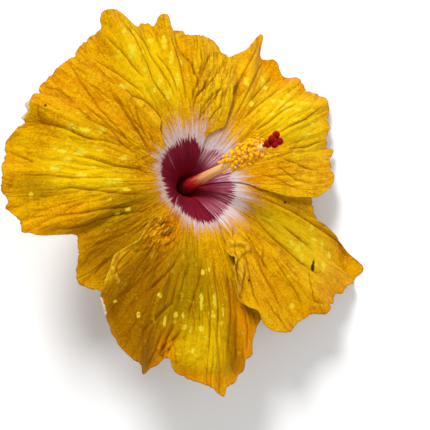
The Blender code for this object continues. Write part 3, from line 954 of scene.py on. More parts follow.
@dataclass
class Petal:
    """One petal: a thin pleated sheet from its claw to its cut margin."""

    node: str
    near_side: Points
    far_side: Points
    margin: Points
    folds: Sequence[tuple]
    patches: Sequence[Patch]
    creases: Sequence[Points] = ()
    crests: Sequence[Points] = ()
    flecks: Sequence[tuple] = ()
    specks: Sequence[tuple] = ()
    pales: Sequence[tuple] = ()
    # How rose the eye is: partly its own rose tint, partly painted sheen and painted light.
    rose_and_sheen: float = 0.1
    rows: int = 150
    columns: int = 210
    thickness: float = 0.45
    claw: float = 3.6
    row_power: float = 1.05
    ripple_from: float = 18.0
    ripple_span: float = 60.0
    ripples: Sequence[tuple] = ((9, 0.9, 0.5), (14, 0.7, 2.1), (23, 0.45, 1.3))
    ruffle_count: int = 31
    ruffle_height: float = 0.9
    ruffle_from: float = 0.72
    lip_width: float = 0.12
    lip_height: float = 1.2
    golden: float = 0.0
    golden_width: float = 3.2
    spot_spread: float = 1.4
    spot_least: float = 0.5
    floor: float = 0.3
    eye_line: Points = (
        (-71, 20.5), (-45, 19.3), (-27, 19.0), (-12, 18.6), (6, 17.5), (20, 18.5), (47, 18.4),
        (70, 16.0), (82, 16.6), (95, 20.0), (127, 19.5), (145, 19.6), (166, 17.5), (199, 14.7),
        (229, 15.2), (259, 17.9), (278, 20.1), (289, 20.5))
    halo_line: Points = (
        (-71, 25.0), (-45, 27.0), (-14, 27.4), (4, 23.6), (26, 23.2), (47, 27.5), (63, 30.0),
        (71, 26.5), (88, 27.8), (105, 29.0), (131, 26.5), (160, 22.6), (188, 19.6), (213, 19.6),
        (240, 21.0), (265, 24.2), (287, 24.5), (289, 24.5))
    crease_depth: float = 0.62
    crease_width: float = 0.62
    crease_line: float = 0.40
    shoulder_away: float = 1.6
    shoulder_width: float = 0.9
    wrinkle_height: float = 1.5
    wrinkle_fine_height: float = 0.55
    wrinkle_width: float = 0.06
    lapped_calm: float = 0.55
    crest_width: float = 0.95
    crest_height: float = 1.5
    tuck: float = 7.0
    random_pleats: Sequence[Pleat] = (
        Pleat(33, 0.24, 0.018, 3.0, 1.0, 1.25, 12.0, 36.0, 0.35, 22.0),
        Pleat(34, 0.55, 0.03, 9.0, 1.4, 0.42, 26.0, 34.0, 0.1, 34.0, 0.05),
        Pleat(35, 1.2, 0.045, 5.0, 2.0, 0.12, 38.0, 30.0, 0.0, 34.0))

    def place(self, along: Array, across: Array) -> tuple[Array, Array, Array]:
        """Find where shares of the sheet lie.

        Args:
            along: Share from the claw to the margin.
            across: Share from the clockwise side to the other.

        Returns:
            Reach, bearing and the margin's reach there.
        """
        ends = np.array(self.margin, float)
        low = curve(self.near_side, ends[:, 1])
        high = curve(self.far_side, ends[:, 1])
        shares = np.clip((ends[:, 0] - low) / (high - low), 0, 1)
        shares[0] = 0.0
        shares[-1] = 1.0
        limit = curve(list(zip(shares, ends[:, 1])), across)
        rough = Crumple(5)
        bearing_end = curve(list(zip(shares, ends[:, 0])), across)
        limit = limit + 0.5 * rough.at(bearing_end * 0.55, 0.5) + 0.3
        limit = limit - 0.9 * np.abs(rough.at(bearing_end * 0.9, 7.5))
        reach = self.claw + (limit - self.claw) * along ** self.row_power
        side = curve(self.near_side, reach)
        tucked = smooth((reach - 4) / 2.5) * smooth((16 - reach) / 9)
        far = curve(self.far_side, reach) + self.tuck * tucked
        return reach, side + (far - side) * across, limit

    def relief(self, reach: Array, bearing: Array, along: Array, across: Array) -> Array:
        """Work out how far the sheet's main folds stand off the funnel.

        Args:
            reach: Distances from the bloom's axis, in millimetres.
            bearing: Bearings round the bloom's axis, in degrees.
            along: Share from the claw to the margin.
            across: Share from the clockwise side to the other.

        Returns:
            Their height.
        """
        angle = np.radians(bearing)
        strength = np.clip((reach - self.ripple_from) / self.ripple_span, 0, None)
        lift = curve(FORM.winding, reach) * (1 - 2 * across)
        for count, height, phase in self.ripples:
            lift = lift + strength * height * np.cos(count * angle + phase)
        for inside, outside, width, start, full, height in self.folds:
            share = np.clip((reach - start) / (full - start), 0, 1.15)
            middle = inside + (outside - inside) * share
            lift = lift + height * smooth(share) * bell(bearing - middle, width)
        inner = smooth((across - 0.1) / 0.1) * smooth((0.85 - across) / 0.1)
        edge = smooth((along - self.ruffle_from) / (1 - self.ruffle_from))
        ruffle = np.cos(self.ruffle_count * angle + reach / 9)
        lift = lift + self.ruffle_height * edge * inner * ruffle
        lip = np.clip(1 - across / self.lip_width, 0, 1) ** 2 * smooth((reach - 20) / 20)
        return lift + self.lip_height * lip * (1 + 0.6 * np.sin(reach / 3.1))

    def pleats(self, reach: Array, bearing: Array, across: Array) -> tuple[Array, Array]:
        """Work out the fine pleats.

        Args:
            reach: Reach of each point.
            bearing: Bearing of each point.
            across: Share across the sheet of each point.

        Returns:
            Their height, and how deep in a crease each point lies, from 0 to 1, which the finish darkens as
            painted shade.
        """
        angle = np.radians(bearing)
        x, y = reach * np.cos(angle), reach * np.sin(angle)
        bend = 0.8 * Crumple(31).at(bearing * 0.09, reach * 0.03)
        bend = bend + 0.22 * Crumple(32).at(bearing * 0.3, reach * 0.08)
        height = shade_in_creases = 0.0
        for pleat in self.random_pleats:
            fold, valley = pleat.at(bearing, reach, bend)
            height = height + fold
            shade_in_creases = shade_in_creases + valley
        crumpled = 0.12 + self.toned(Tone.CRUMPLED, bearing, reach)
        wrinkle = np.abs(Crumple(36).at(x * 0.21 + bend, y * 0.21))
        wrinkle_fine = np.abs(Crumple(37).at(x * 0.5, y * 0.5 + bend))
        height = height + crumpled * self.wrinkle_height * (wrinkle - FOLD_MEAN)
        height = height + crumpled * self.wrinkle_fine_height * (wrinkle_fine - FOLD_MEAN)
        shade_in_creases = shade_in_creases + crumpled * 0.55 * bell(wrinkle, self.wrinkle_width)
        height = height + 0.09 * Crumple(38).at(x * 0.8, y * 0.8) * smooth((reach - 20) / 20)
        lapped = np.maximum(1 - smooth((across - 0.2) / 0.12), smooth((across - 0.68) / 0.12))
        place = np.stack([x, y], -1)
        for line in self.creases:
            away, passed = line_distance(line, place)
            fade = smooth(passed / 0.25) * smooth((1 - passed) / 0.25)
            valley = bell(away, self.crease_width)
            shoulder = bell(away - self.shoulder_away, self.shoulder_width)
            height = height + self.crease_depth * fade * (0.45 * shoulder - valley)
            shade_in_creases = shade_in_creases + 0.95 * fade * bell(away, self.crease_line)
        return height * (1 - self.lapped_calm * lapped), np.clip(shade_in_creases, 0, 1)

    def ridged(self, bearing: Array, reach: Array) -> Array:
        """Find how near places are to the crest of a curl.

        Args:
            bearing: Bearings round the bloom's axis, in degrees.
            reach: Distances from the bloom's axis, in millimetres.

        Returns:
            The nearness, from 0 to 1.
        """
        place = flat_place(bearing, reach)
        total = 0.0 * reach
        for line in self.crests:
            away, passed = line_distance(line, place)
            fade = smooth((passed + 0.1) / 0.25) * smooth((1.1 - passed) / 0.25)
            total = np.maximum(total, fade * bell(away, self.crest_width))
        return total

    def toned(self, tone: Tone, bearing: Array, reach: Array) -> Array:
        """Return the strength of one tone at places on the petal."""
        return sum((p.weight(bearing, reach) for p in self.patches if p.tone is tone), 0.0 * reach)

    def points(self, along: Array, across: Array) -> Array:
        """Lay the sheet's middle surface, never lower than it rests.

        Args:
            along: Share from the claw to the margin.
            across: Share from the clockwise side to the other.

        Returns:
            Points in millimetres in the row frame.
        """
        reach, bearing, _ = self.place(along, across)
        lift = self.relief(reach, bearing, along, across) + self.pleats(reach, bearing, across)[0]
        lift = lift + self.crest_height * self.ridged(bearing, reach)
        middle = FORM.surface(reach, bearing) + FORM.normal(reach, bearing) * lift[:, None]
        laid = FORM.to_row(middle)
        laid[:, 2] = np.maximum(laid[:, 2], self.floor)
        return laid

    def spotted(self, spots: Sequence[tuple], bearing: Array, reach: Array) -> Array:
        """Work out the strength of small spots.

        Args:
            spots: The bearing, reach, half width and half height of each.
            bearing: Bearings round the bloom's axis, in degrees.
            reach: Distances from the bloom's axis, in millimetres.

        Returns:
            Their strength, from 0 to 1.
        """
        place = flat_place(bearing, reach)
        total = 0.0 * reach
        for turn, out, wide, high in spots:
            middle = flat_place(np.array(turn), np.array(out))
            size = self.spot_spread * np.maximum((wide, high), self.spot_least)
            away = (place - middle) / size
            total = np.maximum(total, np.exp(-(away ** 2).sum(-1)))
        return total

    def marks(self, along: Array, across: Array) -> dict:
        """Work out the places and marks that the finish reads.

        Args:
            along: Share from the claw to the margin.
            across: Share from the clockwise side to the other.

        Returns:
            Three numbers a point for each attribute's name.
        """
        reach, bearing, limit = self.place(along, across)
        _, shade_in_creases = self.pleats(reach, bearing, across)
        start = -self.eye_line[0][0]
        turn = (bearing + start) % 360 - start
        eye = curve(self.eye_line, turn)
        side = np.radians(bearing - curve(self.near_side, reach)) * reach
        halo = curve(self.halo_line, turn) - eye
        trim = bell(side, self.golden_width) * smooth((reach - 19) / 4)
        halo = halo * (1 - self.golden * trim)
        tones = {tone: self.toned(tone, bearing, reach) for tone in Tone}
        flecks, specks, pales = (self.spotted(spots, bearing, reach)
                                 for spots in (self.flecks, self.specks, self.pales))
        return {
            "petal_place": (bearing, reach, self.ridged(bearing, reach)),
            "petal_marks": (limit - reach, shade_in_creases, tones[Tone.OCHRE]),
            "petal_throat": (reach - eye, (reach - eye) / halo, self.rose_and_sheen),
            "petal_tones": (tones[Tone.BRIGHT], tones[Tone.OLIVE], tones[Tone.ORANGE]),
            "petal_spots": (flecks, specks, side),
            "petal_more": (tones[Tone.CRUMPLED], pales, tones[Tone.UMBER]),
        }

    def build(self, face: Material, back: Material) -> Piece:
        """Build and dress the petal.

        Args:
            face: Finish of the upper side and rim.
            back: Finish of the under side.

        Returns:
            The finished piece.
        """
        piece = grid_piece(self.node + "_pleated", self.rows, self.columns, self.points, self.marks)
        apply_modifier(piece, "SOLIDIFY", {
            "thickness": self.thickness * MM, "offset": 0.0, "material_offset": 1, "material_offset_rim": 0})
        dress(piece, [face, back], self.node)
        return piece


@dataclass
class Column:
    """The stamens' tube, bent over from the throat, with its filaments and anthers."""

    tip: tuple[float, float, float] = (30.9, 23.7, 60.0)
    bend: float = 20.0
    foot: float = -6.9
    radii: Points = (
        (0.0, 2.6), (0.05, 2.9), (0.1, 3.25), (0.2, 3.1), (0.31, 2.7), (0.47, 2.2), (0.69, 1.75), (0.9, 1.45),
        (1.0, 1.3))
    socket_radius: float = 0.85
    socket_depth: float = 2.0
    socket_rim: float = 0.12
    wall_from: float = 0.015
    wall_rings: int = 76
    wall_sides: int = 40
    ribs: int = 5
    rib_height: float = 0.025
    stamens: int = 165
    strays: Sequence[tuple] = (
        (0.64, 2.9), (0.645, 0.35), (0.69, 2.6), (0.70, 2.2), (0.715, 2.9), (0.725, 2.4), (0.725, -0.1),
        (0.735, 0.2), (0.745, -0.4), (0.735, 1.8))
    stamen_from: float = 0.755
    stamen_to: float = 0.97
    stamen_turn: float = 2.4
    scatter: float = 0.3
    lean: tuple[float, float] = (-0.15, 0.45)
    root: float = 0.7
    reach: tuple[float, float] = (2.7, 5.6)
    anther: float = 0.86
    anther_ahead: float = 0.3
    anther_sizes: tuple[float, float] = (0.88, 1.1)
    thread_rings: int = 6
    thread_sides: int = 7
    thread_radius: float = 0.3
    thread_taper: float = 0.13
    thread_bow: float = 0.35
    seed: int = 20

    def path(self, share: Array) -> Array:
        """Follow the tube's middle line.

        Args:
            share: Share of the tube passed, from its foot to its tip.

        Returns:
            Points in millimetres in the row frame.
        """
        foot, bend = FORM.on_axis(self.foot), FORM.on_axis(self.bend)
        share = np.asarray(share, float)[..., None]
        return (1 - share) ** 2 * foot + 2 * share * (1 - share) * bend + share ** 2 * np.array(self.tip)

    def sides(self, share: Array) -> tuple[Array, Array, Array]:
        """Find the directions along the tube.

        Args:
            share: Share of the tube passed, from its foot to its tip.

        Returns:
            Unit vectors onward, sideways and upward.
        """
        ahead = np.minimum(share + 0.01, 1.0)
        onward = unit(self.path(ahead) - self.path(ahead - 0.01))
        side = unit(np.cross(onward, UPWARD))
        return onward, side, np.cross(side, onward)

    def build_tube(self, finish: Material) -> Piece:
        """Build the tube with its hollow tip and faint ribs.

        Args:
            finish: Finish of the tube.

        Returns:
            The finished piece.
        """
        ends = [(0.0, 0.0), (0.0, 0.6), (0.0, 1.0)]
        body = [(share, None) for share in np.linspace(self.wall_from, 1.0, self.wall_rings)]
        tip = [(1.0, self.socket_radius + self.socket_rim), (1.0, self.socket_radius)]
        steps = len(ends) + len(body) + len(tip) + 2
        shares = np.array([s for s, _ in ends + body + tip] + [1.0, 1.0])
        outer = curve(self.radii, shares)
        radius = np.array([outer[i] * r if i < len(ends) else (outer[i] if r is None else r)
                           for i, (_, r) in enumerate(ends + body + tip)] + [self.socket_radius, 0.0])
        sunk = np.zeros(steps)
        sunk[-2:] = self.socket_depth

        def laid(along: Array, across: Array) -> Array:
            """Lay the tube's rings.

            Args:
                along: Share of the rings passed.
                across: Share of the way round.

            Returns:
                Points in millimetres in the row frame.
            """
            row = row_at(along, steps)
            share = shares[row]
            onward, side, up = self.sides(share)
            turn = 2 * math.pi * across
            rib = 1 + self.rib_height * np.cos(self.ribs * turn) * smooth((share - 0.1) / 0.2)
            spoke = turned(turn, side, up) * (radius[row] * rib)[:, None]
            return self.path(share) - onward * sunk[row][:, None] + spoke

        def marks(along: Array, across: Array) -> dict:
            """Return how far along and round the tube each point is."""
            turn = 2 * math.pi * across
            return {"tube_place": (shares[row_at(along, steps)], np.cos(turn), np.sin(turn))}

        piece = grid_piece("stamen_tube", steps - 1, self.wall_sides, laid, marks, closed=True)
        dress(piece, [finish], "staminal_column")
        return piece

    def anther_shape(self) -> tuple[Array, list]:
        """Model one anther: a kidney-shaped bead with a furrow.

        Returns:
            Its points, about the origin with Z away from its filament, and its faces.
        """
        points, faces = taken_off(bpy.ops.mesh.primitive_uv_sphere_add, {"segments": 12, "ring_count": 8})
        furrow = 0.28 * bell(points[:, 0], 0.3) * (points[:, 2] > -0.3)
        points[:, 2] -= furrow + 0.18 * points[:, 0] ** 2
        points *= (self.anther * 1.12, self.anther * 0.86, self.anther * 0.78)
        return points, faces

    def build_stamens(self, thread: Material, pollen: Material) -> list[Piece]:
        """Build the filaments and anthers, scattered up the tube with a few strays below them.

        Args:
            thread: Finish of the filaments.
            pollen: Finish of the anthers.

        Returns:
            The two finished pieces.
        """
        rng = np.random.default_rng(self.seed)
        bead, bead_faces = self.anther_shape()
        spots = list(self.strays)
        span = self.stamen_to - self.stamen_from
        for i in range(self.stamens):
            share = self.stamen_from + span * (i + 0.5) / self.stamens
            spots.append((share, i * self.stamen_turn + rng.uniform(-self.scatter, self.scatter)))
        threads = []
        anthers = []
        for share, angle in spots:
            onward, side, up = (v[0] for v in self.sides(np.array([share])))
            centre = self.path(np.array([share]))[0]
            way = unit(turned(angle, side, up) + onward * rng.uniform(*self.lean))
            swell = 0.8 + 0.2 * math.sin(math.pi * (share - self.stamen_from) / span)
            length = self.reach[0] + (self.reach[1] - self.reach[0]) * rng.uniform(0.1, 1.0) ** 0.6
            end = centre + way * length * swell
            threads.append(self.thread_points(centre + way * self.root, end, onward))
            beside = unit(np.cross(way, onward))
            first = turned(rng.uniform(0, math.pi), beside, np.cross(way, beside))
            axes = np.stack([first, np.cross(way, first), way])
            anthers.append(end + way * self.anther_ahead + bead * rng.uniform(*self.anther_sizes) @ axes)
        faces = tube_faces(self.thread_rings, self.thread_sides)
        made = [heap("filaments", threads, faces), heap("anthers", anthers, bead_faces)]
        for piece, finish in zip(made, (thread, pollen)):
            dress(piece, [finish], "staminal_column")
        return made

    def thread_points(self, start: Array, end: Array, onward: Array) -> Array:
        """Lay one filament, slightly bowed and tapering.

        Args:
            start: Where it leaves the tube.
            end: Where it meets its anther.
            onward: The tube's direction, towards which it bows.

        Returns:
            The points of its rings.
        """
        rings = []
        for share in np.linspace(0, 1, self.thread_rings):
            centre = start + (end - start) * share + onward * self.thread_bow * math.sin(math.pi * share)
            radius = self.thread_radius - self.thread_taper * share
            rings.append(ring(centre, end - start, onward, radius, self.thread_sides))
        return np.concatenate(rings)


def ring(centre: Array, way: Array, beside: Array, radius: float, count: int) -> Array:
    """Space points round a centre.

    Args:
        centre: The ring's centre.
        way: The direction that the ring is square to.
        beside: A direction that the ring's first point is square to.
        radius: The ring's radius.
        count: How many points it has.

    Returns:
        The points.
    """
    side = unit(np.cross(way, beside))
    angle = 2 * math.pi * np.arange(count) / count
    return centre + radius * turned(angle, side, unit(np.cross(side, way)))


def row_at(along: Array, steps: int) -> Array:
    """Return which of a grid's rings the shares along it belong to."""
    return np.rint(along * (steps - 1)).astype(int)


def tube_faces(rings: int, sides: int) -> list[tuple]:
    """List the faces of a capped tube.

    Args:
        rings: How many rings of points it has.
        sides: How many points a ring has.

    Returns:
        The faces, as places of their points.
    """
    faces = [tuple(range(sides - 1, -1, -1)), tuple((rings - 1) * sides + k for k in range(sides))]
    for row in range(rings - 1):
        for k in range(sides):
            a = row * sides + k
            b = row * sides + (k + 1) % sides
            faces.append((a, b, b + sides, a + sides))
    return faces


def taken_off(add: Callable, settings: dict) -> tuple[Array, list[tuple]]:
    """Add a ball of radius 1 and take its shape off it.

    Args:
        add: The operator that adds it.
        settings: How finely it is divided.

    Returns:
        Its points and its faces.
    """
    bpy.ops.object.select_all(action="DESELECT")
    add(radius=1.0, **settings)
    ball = bpy.context.object
    points = np.array([tuple(v.co) for v in ball.data.vertices])
    faces = [tuple(p.vertices) for p in ball.data.polygons]
    bpy.data.objects.remove(ball)
    return points, faces


def heap(name: str, copies: Sequence[Array], faces: Sequence[tuple]) -> Piece:
    """Make one piece of many copies of a shape.

    Args:
        name: The piece's name.
        copies: The points of each copy, in millimetres in the row frame.
        faces: The faces that all copies share.

    Returns:
        The new object.
    """
    mesh = bpy.data.meshes.new(name)
    count = len(copies[0])
    every = [tuple(i + n * count for i in face) for n in range(len(copies)) for face in faces]
    mesh.from_pydata((np.concatenate(copies) * MM).tolist(), [], every)
    shape = bmesh.new()
    shape.from_mesh(mesh)
    bmesh.ops.recalc_face_normals(shape, faces=shape.faces)
    shape.to_mesh(mesh)
    shape.free()
    piece = bpy.data.objects.new(name, mesh)
    bpy.context.scene.collection.objects.link(piece)
    return piece


@dataclass
class Stigmas:
    """The style's tip with five branches, each ending in a velvety pad."""

    column: Column
    style_radius: float = 0.55
    style_length: float = 3.0
    style_sunk: float = 1.6
    branch_radius: float = 0.4
    branch_sunk: float = 0.8
    branch_arch: float = 0.45
    hair_height: float = 0.05
    pad_radius: float = 1.68
    pad_height: float = 1.5
    pads: Sequence[tuple] = (
        (5.1, 4.5, 4.6), (3.2, 2.6, 6.4), (1.5, 0.6, 4.4), (4.4, 0.4, 5.6), (6.6, 1.7, 4.2))
    stem_rings: int = 13
    stem_sides: int = 10
    beside: tuple[float, float, float] = (0.3, -0.6, 0.2)

    def build(self, style: Material, velvet: Material) -> list[Piece]:
        """Build the style with its branches, and the pads.

        Args:
            style: Finish of the style and branches.
            velvet: Finish of the pads.

        Returns:
            The two finished pieces.
        """
        tip = self.column.path(np.array([1.0]))[0]
        ahead = self.column.sides(np.array([1.0]))[0][0]
        top = tip + ahead * self.style_length
        lines = [np.array([tip - ahead * self.style_sunk, tip, (tip + top) / 2, top])]
        for pad in self.pads:
            centre = tip + np.array(pad)
            root = top - ahead * self.branch_sunk
            arch = (root + centre) / 2 + ahead * self.branch_arch
            lines.append(np.array([root, arch, (root + 3 * centre) / 4 + ahead * 0.3, centre]))
        radii = [self.style_radius] + [self.branch_radius] * len(self.pads)
        stems = [self.stem(line, radius) for line, radius in zip(lines, radii)]
        made = [heap("style_branches", stems, tube_faces(self.stem_rings, self.stem_sides))]
        made.append(heap("stigma_pads", *self.pad_shapes(tip)))
        for piece, finish in zip(made, (style, velvet)):
            dress(piece, [finish], "style_and_stigmas")
        return made

    def stem(self, line: Array, radius: float) -> Array:
        """Lay a smooth stem.

        Args:
            line: Its two ends, with the two points between that steer it.
            radius: Its radius.

        Returns:
            The points of its rings.
        """
        shares = np.linspace(0, 1, self.stem_rings)
        whole = (1 - shares)[:, None] ** 3 * line[0] + 3 * (shares * (1 - shares) ** 2)[:, None] * line[1]
        whole = whole + 3 * (shares ** 2 * (1 - shares))[:, None] * line[2] + shares[:, None] ** 3 * line[3]
        ways = np.gradient(whole, axis=0)
        return np.concatenate([ring(centre, way, np.array(self.beside), radius, self.stem_sides)
                               for centre, way in zip(whole, ways)])

    def pad_shapes(self, tip: Array) -> tuple[list[Array], list[tuple]]:
        """Model one papillose pad and place its copies.

        Args:
            tip: The tube's tip.

        Returns:
            The points of each copy, and the faces they share.
        """
        points, faces = taken_off(bpy.ops.mesh.primitive_ico_sphere_add, {"subdivisions": 5})
        turn = np.arctan2(points[:, 1], points[:, 0])
        hairs = Crumple(61).at(turn * 5.1, points[:, 2] * 16)
        hairs = hairs + Crumple(62).at(points[:, 0] * 15, points[:, 1] * 15)
        swell = 0.97 + self.hair_height * hairs
        copies = []
        for pad in self.pads:
            size = np.array([self.pad_radius, self.pad_radius, self.pad_height])
            copies.append(tip + np.array(pad) + points * swell[:, None] * size)
        return copies, faces


@dataclass
class Calyx:
    """The green cup with five lobes, its ring of bracts and the bent, cut stalk."""

    lobes: int = 5
    lobe_bearing: float = 71.0
    sinus: float = 8.5
    lobe: float = 17.5
    lobe_point: float = 0.9
    cup_reach: float = 4.4
    cup_floor: Points = ((0.0, -7.3), (2.0, -7.3), (4.4, -7.0))
    cup_under: Points = ((5.0, -8.2), (3.4, -9.4), (2.0, -10.0), (0.0, -10.0))
    cup_rings: int = 15
    cup_sides: int = 120
    rib_height: float = 0.22
    rib_width: float = 0.08
    thickness: float = 0.8
    petal_half: float = 0.4
    clearance: float = 0.35
    bracts: int = 7
    bract_bearing: float = 12.0
    bract_root: float = 1.5
    bract_length: float = 15.0
    bract_width: float = 1.9
    bract_rise: tuple[float, float, float] = (-9.4, 0.2, 0.012)
    bract_keel: float = 0.25
    bract_thickness: float = 0.7
    bract_cells: tuple[int, int] = (28, 8)
    stalk_radius: float = 1.75
    stalk_roots: tuple[float, float] = (-8.8, -10.6)
    stalk_line: Points = ((0.06, 3.3), (0.14, 2.1), (0.24, 1.75), (0.6, 1.75), (1.0, 1.75))
    stalk_rings: int = 70
    stalk_sides: int = 24
    stalk_ribs: int = 6
    stalk_rib: float = 0.03
    stalk_end: tuple[float, float] = (-37.5, -18.7)

    def build_cup(self) -> Piece:
        """Build the cup as one closed sheet of rings over its lobes.

        Returns:
            The cup.
        """
        floor, under, wall = self.cup_floor, self.cup_under, self.cup_rings
        steps = len(floor) + 2 * wall + len(under)

        def laid(along: Array, across: Array) -> Array:
            """Lay the cup's rings.

            Args:
                along: Share of the rings passed.
                across: Share of the way round.

            Returns:
                Points in millimetres in the row frame.
            """
            row = row_at(along, steps)
            bearing = 360 * across + self.lobe_bearing
            half = 180 / self.lobes
            away = np.abs((bearing - self.lobe_bearing + half) % (2 * half) - half) / half
            top = self.sinus + (self.lobe - self.sinus) * (1 - away) ** self.lobe_point
            points = np.zeros((len(row), 3))
            angle = np.radians(bearing)
            plain = list(enumerate(floor)) + list(enumerate(under, steps - len(under)))
            for n, (radius, height) in plain:
                at = row == n
                x, y = radius * np.cos(angle[at]), radius * np.sin(angle[at])
                points[at] = np.stack([x, y, np.full(at.sum(), height)], -1)
            for n in range(2 * wall):
                at = row == len(floor) + n
                inside = n < wall
                share = n / (wall - 1) if inside else (2 * wall - 1 - n) / (wall - 1)
                reach = self.cup_reach + (top[at] - self.cup_reach) * share
                rib = self.rib_height * bell(away[at], self.rib_width) * (0 if inside else 1)
                depth = curve(FORM.winding, reach) + self.petal_half + self.clearance + rib
                depth = depth + (0.0 if inside else self.thickness * (1 - 0.35 * share))
                below = FORM.normal(reach, bearing[at]) * depth[:, None]
                points[at] = FORM.surface(reach, bearing[at]) - below
            return FORM.to_row(points)

        def marks(along: Array, across: Array) -> dict:
            """Return each point's bearing, and where the cup's inside is, which gets painted shade."""
            inside = row_at(along, steps) < len(floor) + wall - 1
            return {"green_place": (360 * across + self.lobe_bearing, inside * 1.0, 0.0)}

        return grid_piece("calyx_cup", steps - 1, self.cup_sides, laid, marks, closed=True)

    def build_bract(self, bearing: float) -> Piece:
        """Build one narrow bract that curves out and up from under the cup.

        Args:
            bearing: The bract's bearing, in degrees.

        Returns:
            The bract.
        """
        angle = math.radians(bearing)
        ahead = np.array([math.cos(angle), math.sin(angle), 0.0])
        aside = np.array([-math.sin(angle), math.cos(angle), 0.0])

        def laid(along: Array, across: Array) -> Array:
            """Lay the bract's keeled blade.

            Args:
                along: Share from its root to its point.
                across: Share from side to side.

            Returns:
                Points in millimetres in the row frame.
            """
            reach = self.bract_root + (self.bract_length - self.bract_root) * along
            height = self.bract_rise[0] + self.bract_rise[1] * reach + self.bract_rise[2] * reach ** 2
            width = self.bract_width * (1 - 0.75 * along ** 2)
            width = width * (1 - np.clip((along - 0.9) / 0.1, 0, 1) ** 2 * 0.8)
            keel = self.bract_keel * (1 - np.abs(2 * across - 1))
            return FORM.to_row(reach[:, None] * ahead + (across - 0.5)[:, None] * width[:, None] * aside
                               + np.stack([0 * keel, 0 * keel, height - keel], -1))

        def marks(along: Array, across: Array) -> dict:
            """Return each point's turn across the blade."""
            return {"green_place": (bearing + 24 * across, 0.0, 0.0)}

        piece = grid_piece("bract", *self.bract_cells, laid, marks)
        apply_modifier(piece, "SOLIDIFY", {"thickness": self.bract_thickness * MM, "offset": 0.0})
        return piece

    def build_stalk(self) -> Piece:
        """Build the stalk, which bends under the cup and lies down to its cut end.

        Returns:
            The stalk.
        """
        line = [FORM.on_axis(height) for height in self.stalk_roots]
        start = line[1][:2]
        way = np.array(self.stalk_end) - start
        for share, height in self.stalk_line:
            line.append(np.array([*(start + way * share), height]))
        line = np.array(line)
        places = np.concatenate([[0], np.cumsum(np.linalg.norm(np.diff(line, axis=0), axis=1))])
        rings = self.stalk_rings
        at = np.concatenate([np.linspace(0, places[-1], rings), [places[-1]] * 3])
        centres = np.stack([curve(list(zip(places, line[:, i])), at) for i in range(3)], -1)
        ahead = np.gradient(centres[:rings], axis=0)
        ahead = np.concatenate([ahead, np.repeat(ahead[-1:], 3, axis=0)])
        side = unit(np.cross(ahead, UPWARD))
        up = unit(np.cross(side, ahead))
        radius = curve([(0, 2.3), (2, 2.0), (5, self.stalk_radius), (60, self.stalk_radius)], at)
        radius[0] = 0.0
        radius[rings:] = [self.stalk_radius * 0.92, self.stalk_radius * 0.55, 0.0]
        centres[rings + 1:] -= unit(ahead[rings + 1:]) * np.array([[0.12], [0.3]])
        steps = len(at)

        def laid(along: Array, across: Array) -> Array:
            """Lay the stalk's rings.

            Args:
                along: Share of the rings passed.
                across: Share of the way round.

            Returns:
                Points in millimetres in the row frame.
            """
            row = row_at(along, steps)
            turn = 2 * math.pi * across
            ribbed = radius[row] * (1 + self.stalk_rib * np.cos(self.stalk_ribs * turn))
            points = centres[row] + turned(turn, side[row], up[row]) * ribbed[:, None]
            points[:, 2] = np.maximum(points[:, 2], 0.0)
            return points

        def marks(along: Array, across: Array) -> dict:
            """Return each point's turn round the stalk, and where its cut end is."""
            return {"green_place": (360 * across, 0.0, (row_at(along, steps) > rings) * 1.0)}

        return grid_piece("stalk", steps - 1, self.stalk_sides, laid, marks, closed=True)

    def build(self, finish: Material) -> Piece:
        """Build and dress the green parts as one piece.

        Args:
            finish: Finish of the green parts.

        Returns:
            The finished piece.
        """
        made = [self.build_cup(), self.build_stalk()]
        made += [self.build_bract(360 * i / self.bracts + self.bract_bearing) for i in range(self.bracts)]
        piece = join_pieces(made, "calyx_and_stalk_ribbed")
        dress(piece, [finish], "calyx_and_stalk")
        return piece


@dataclass
class Studio:
    """The pale table, the soft lights and the camera straight above."""

    camera: tuple[float, float, float] = (9.8, -6.2, 500.0)
    lens: float = 85.0
    table_size: float = 6.0
    world: float = 0.5
    lights: Sequence[tuple] = (
        ("key", (-0.32, 1.05, 1.0), 0.42, 20.6),
        ("fill", (0.8, 0.1, 0.9), 0.9, 3.0),
        ("low", (-0.2, -0.9, 0.6), 0.8, 0.8))

    def build(self, finish: Material) -> None:
        """Build the table, lights, world and camera.

        Args:
            finish: Finish of the table.
        """
        bpy.ops.object.select_all(action="DESELECT")
        bpy.ops.mesh.primitive_plane_add(size=self.table_size, location=(0, 0, 0))
        table = bpy.context.object
        table.name = "table"
        table.data.materials.append(finish)
        for name, place, size, power in self.lights:
            light = bpy.data.lights.new(name, "AREA")
            light.size = size
            light.energy = power
            lamp = bpy.data.objects.new(name, light)
            lamp.location = place
            bpy.context.scene.collection.objects.link(lamp)
            aim = -unit(np.array(place))
            lamp.rotation_euler = (math.acos(-aim[2]), 0.0, math.atan2(aim[1], aim[0]) - math.pi / 2)
        world = bpy.data.worlds.new("studio")
        world.use_nodes = True
        world.node_tree.nodes["Background"].inputs[0].default_value = (1, 1, 1, 1)
        world.node_tree.nodes["Background"].inputs[1].default_value = self.world
        bpy.context.scene.world = world
        bpy.context.scene.view_settings.view_transform = "Standard"
        view = bpy.data.cameras.new("camera")
        view.lens = self.lens
        view.clip_start = 0.01
        camera = bpy.data.objects.new("camera", view)
        camera.location = np.array(self.camera) * MM
        bpy.context.scene.collection.objects.link(camera)
        bpy.context.scene.camera = camera


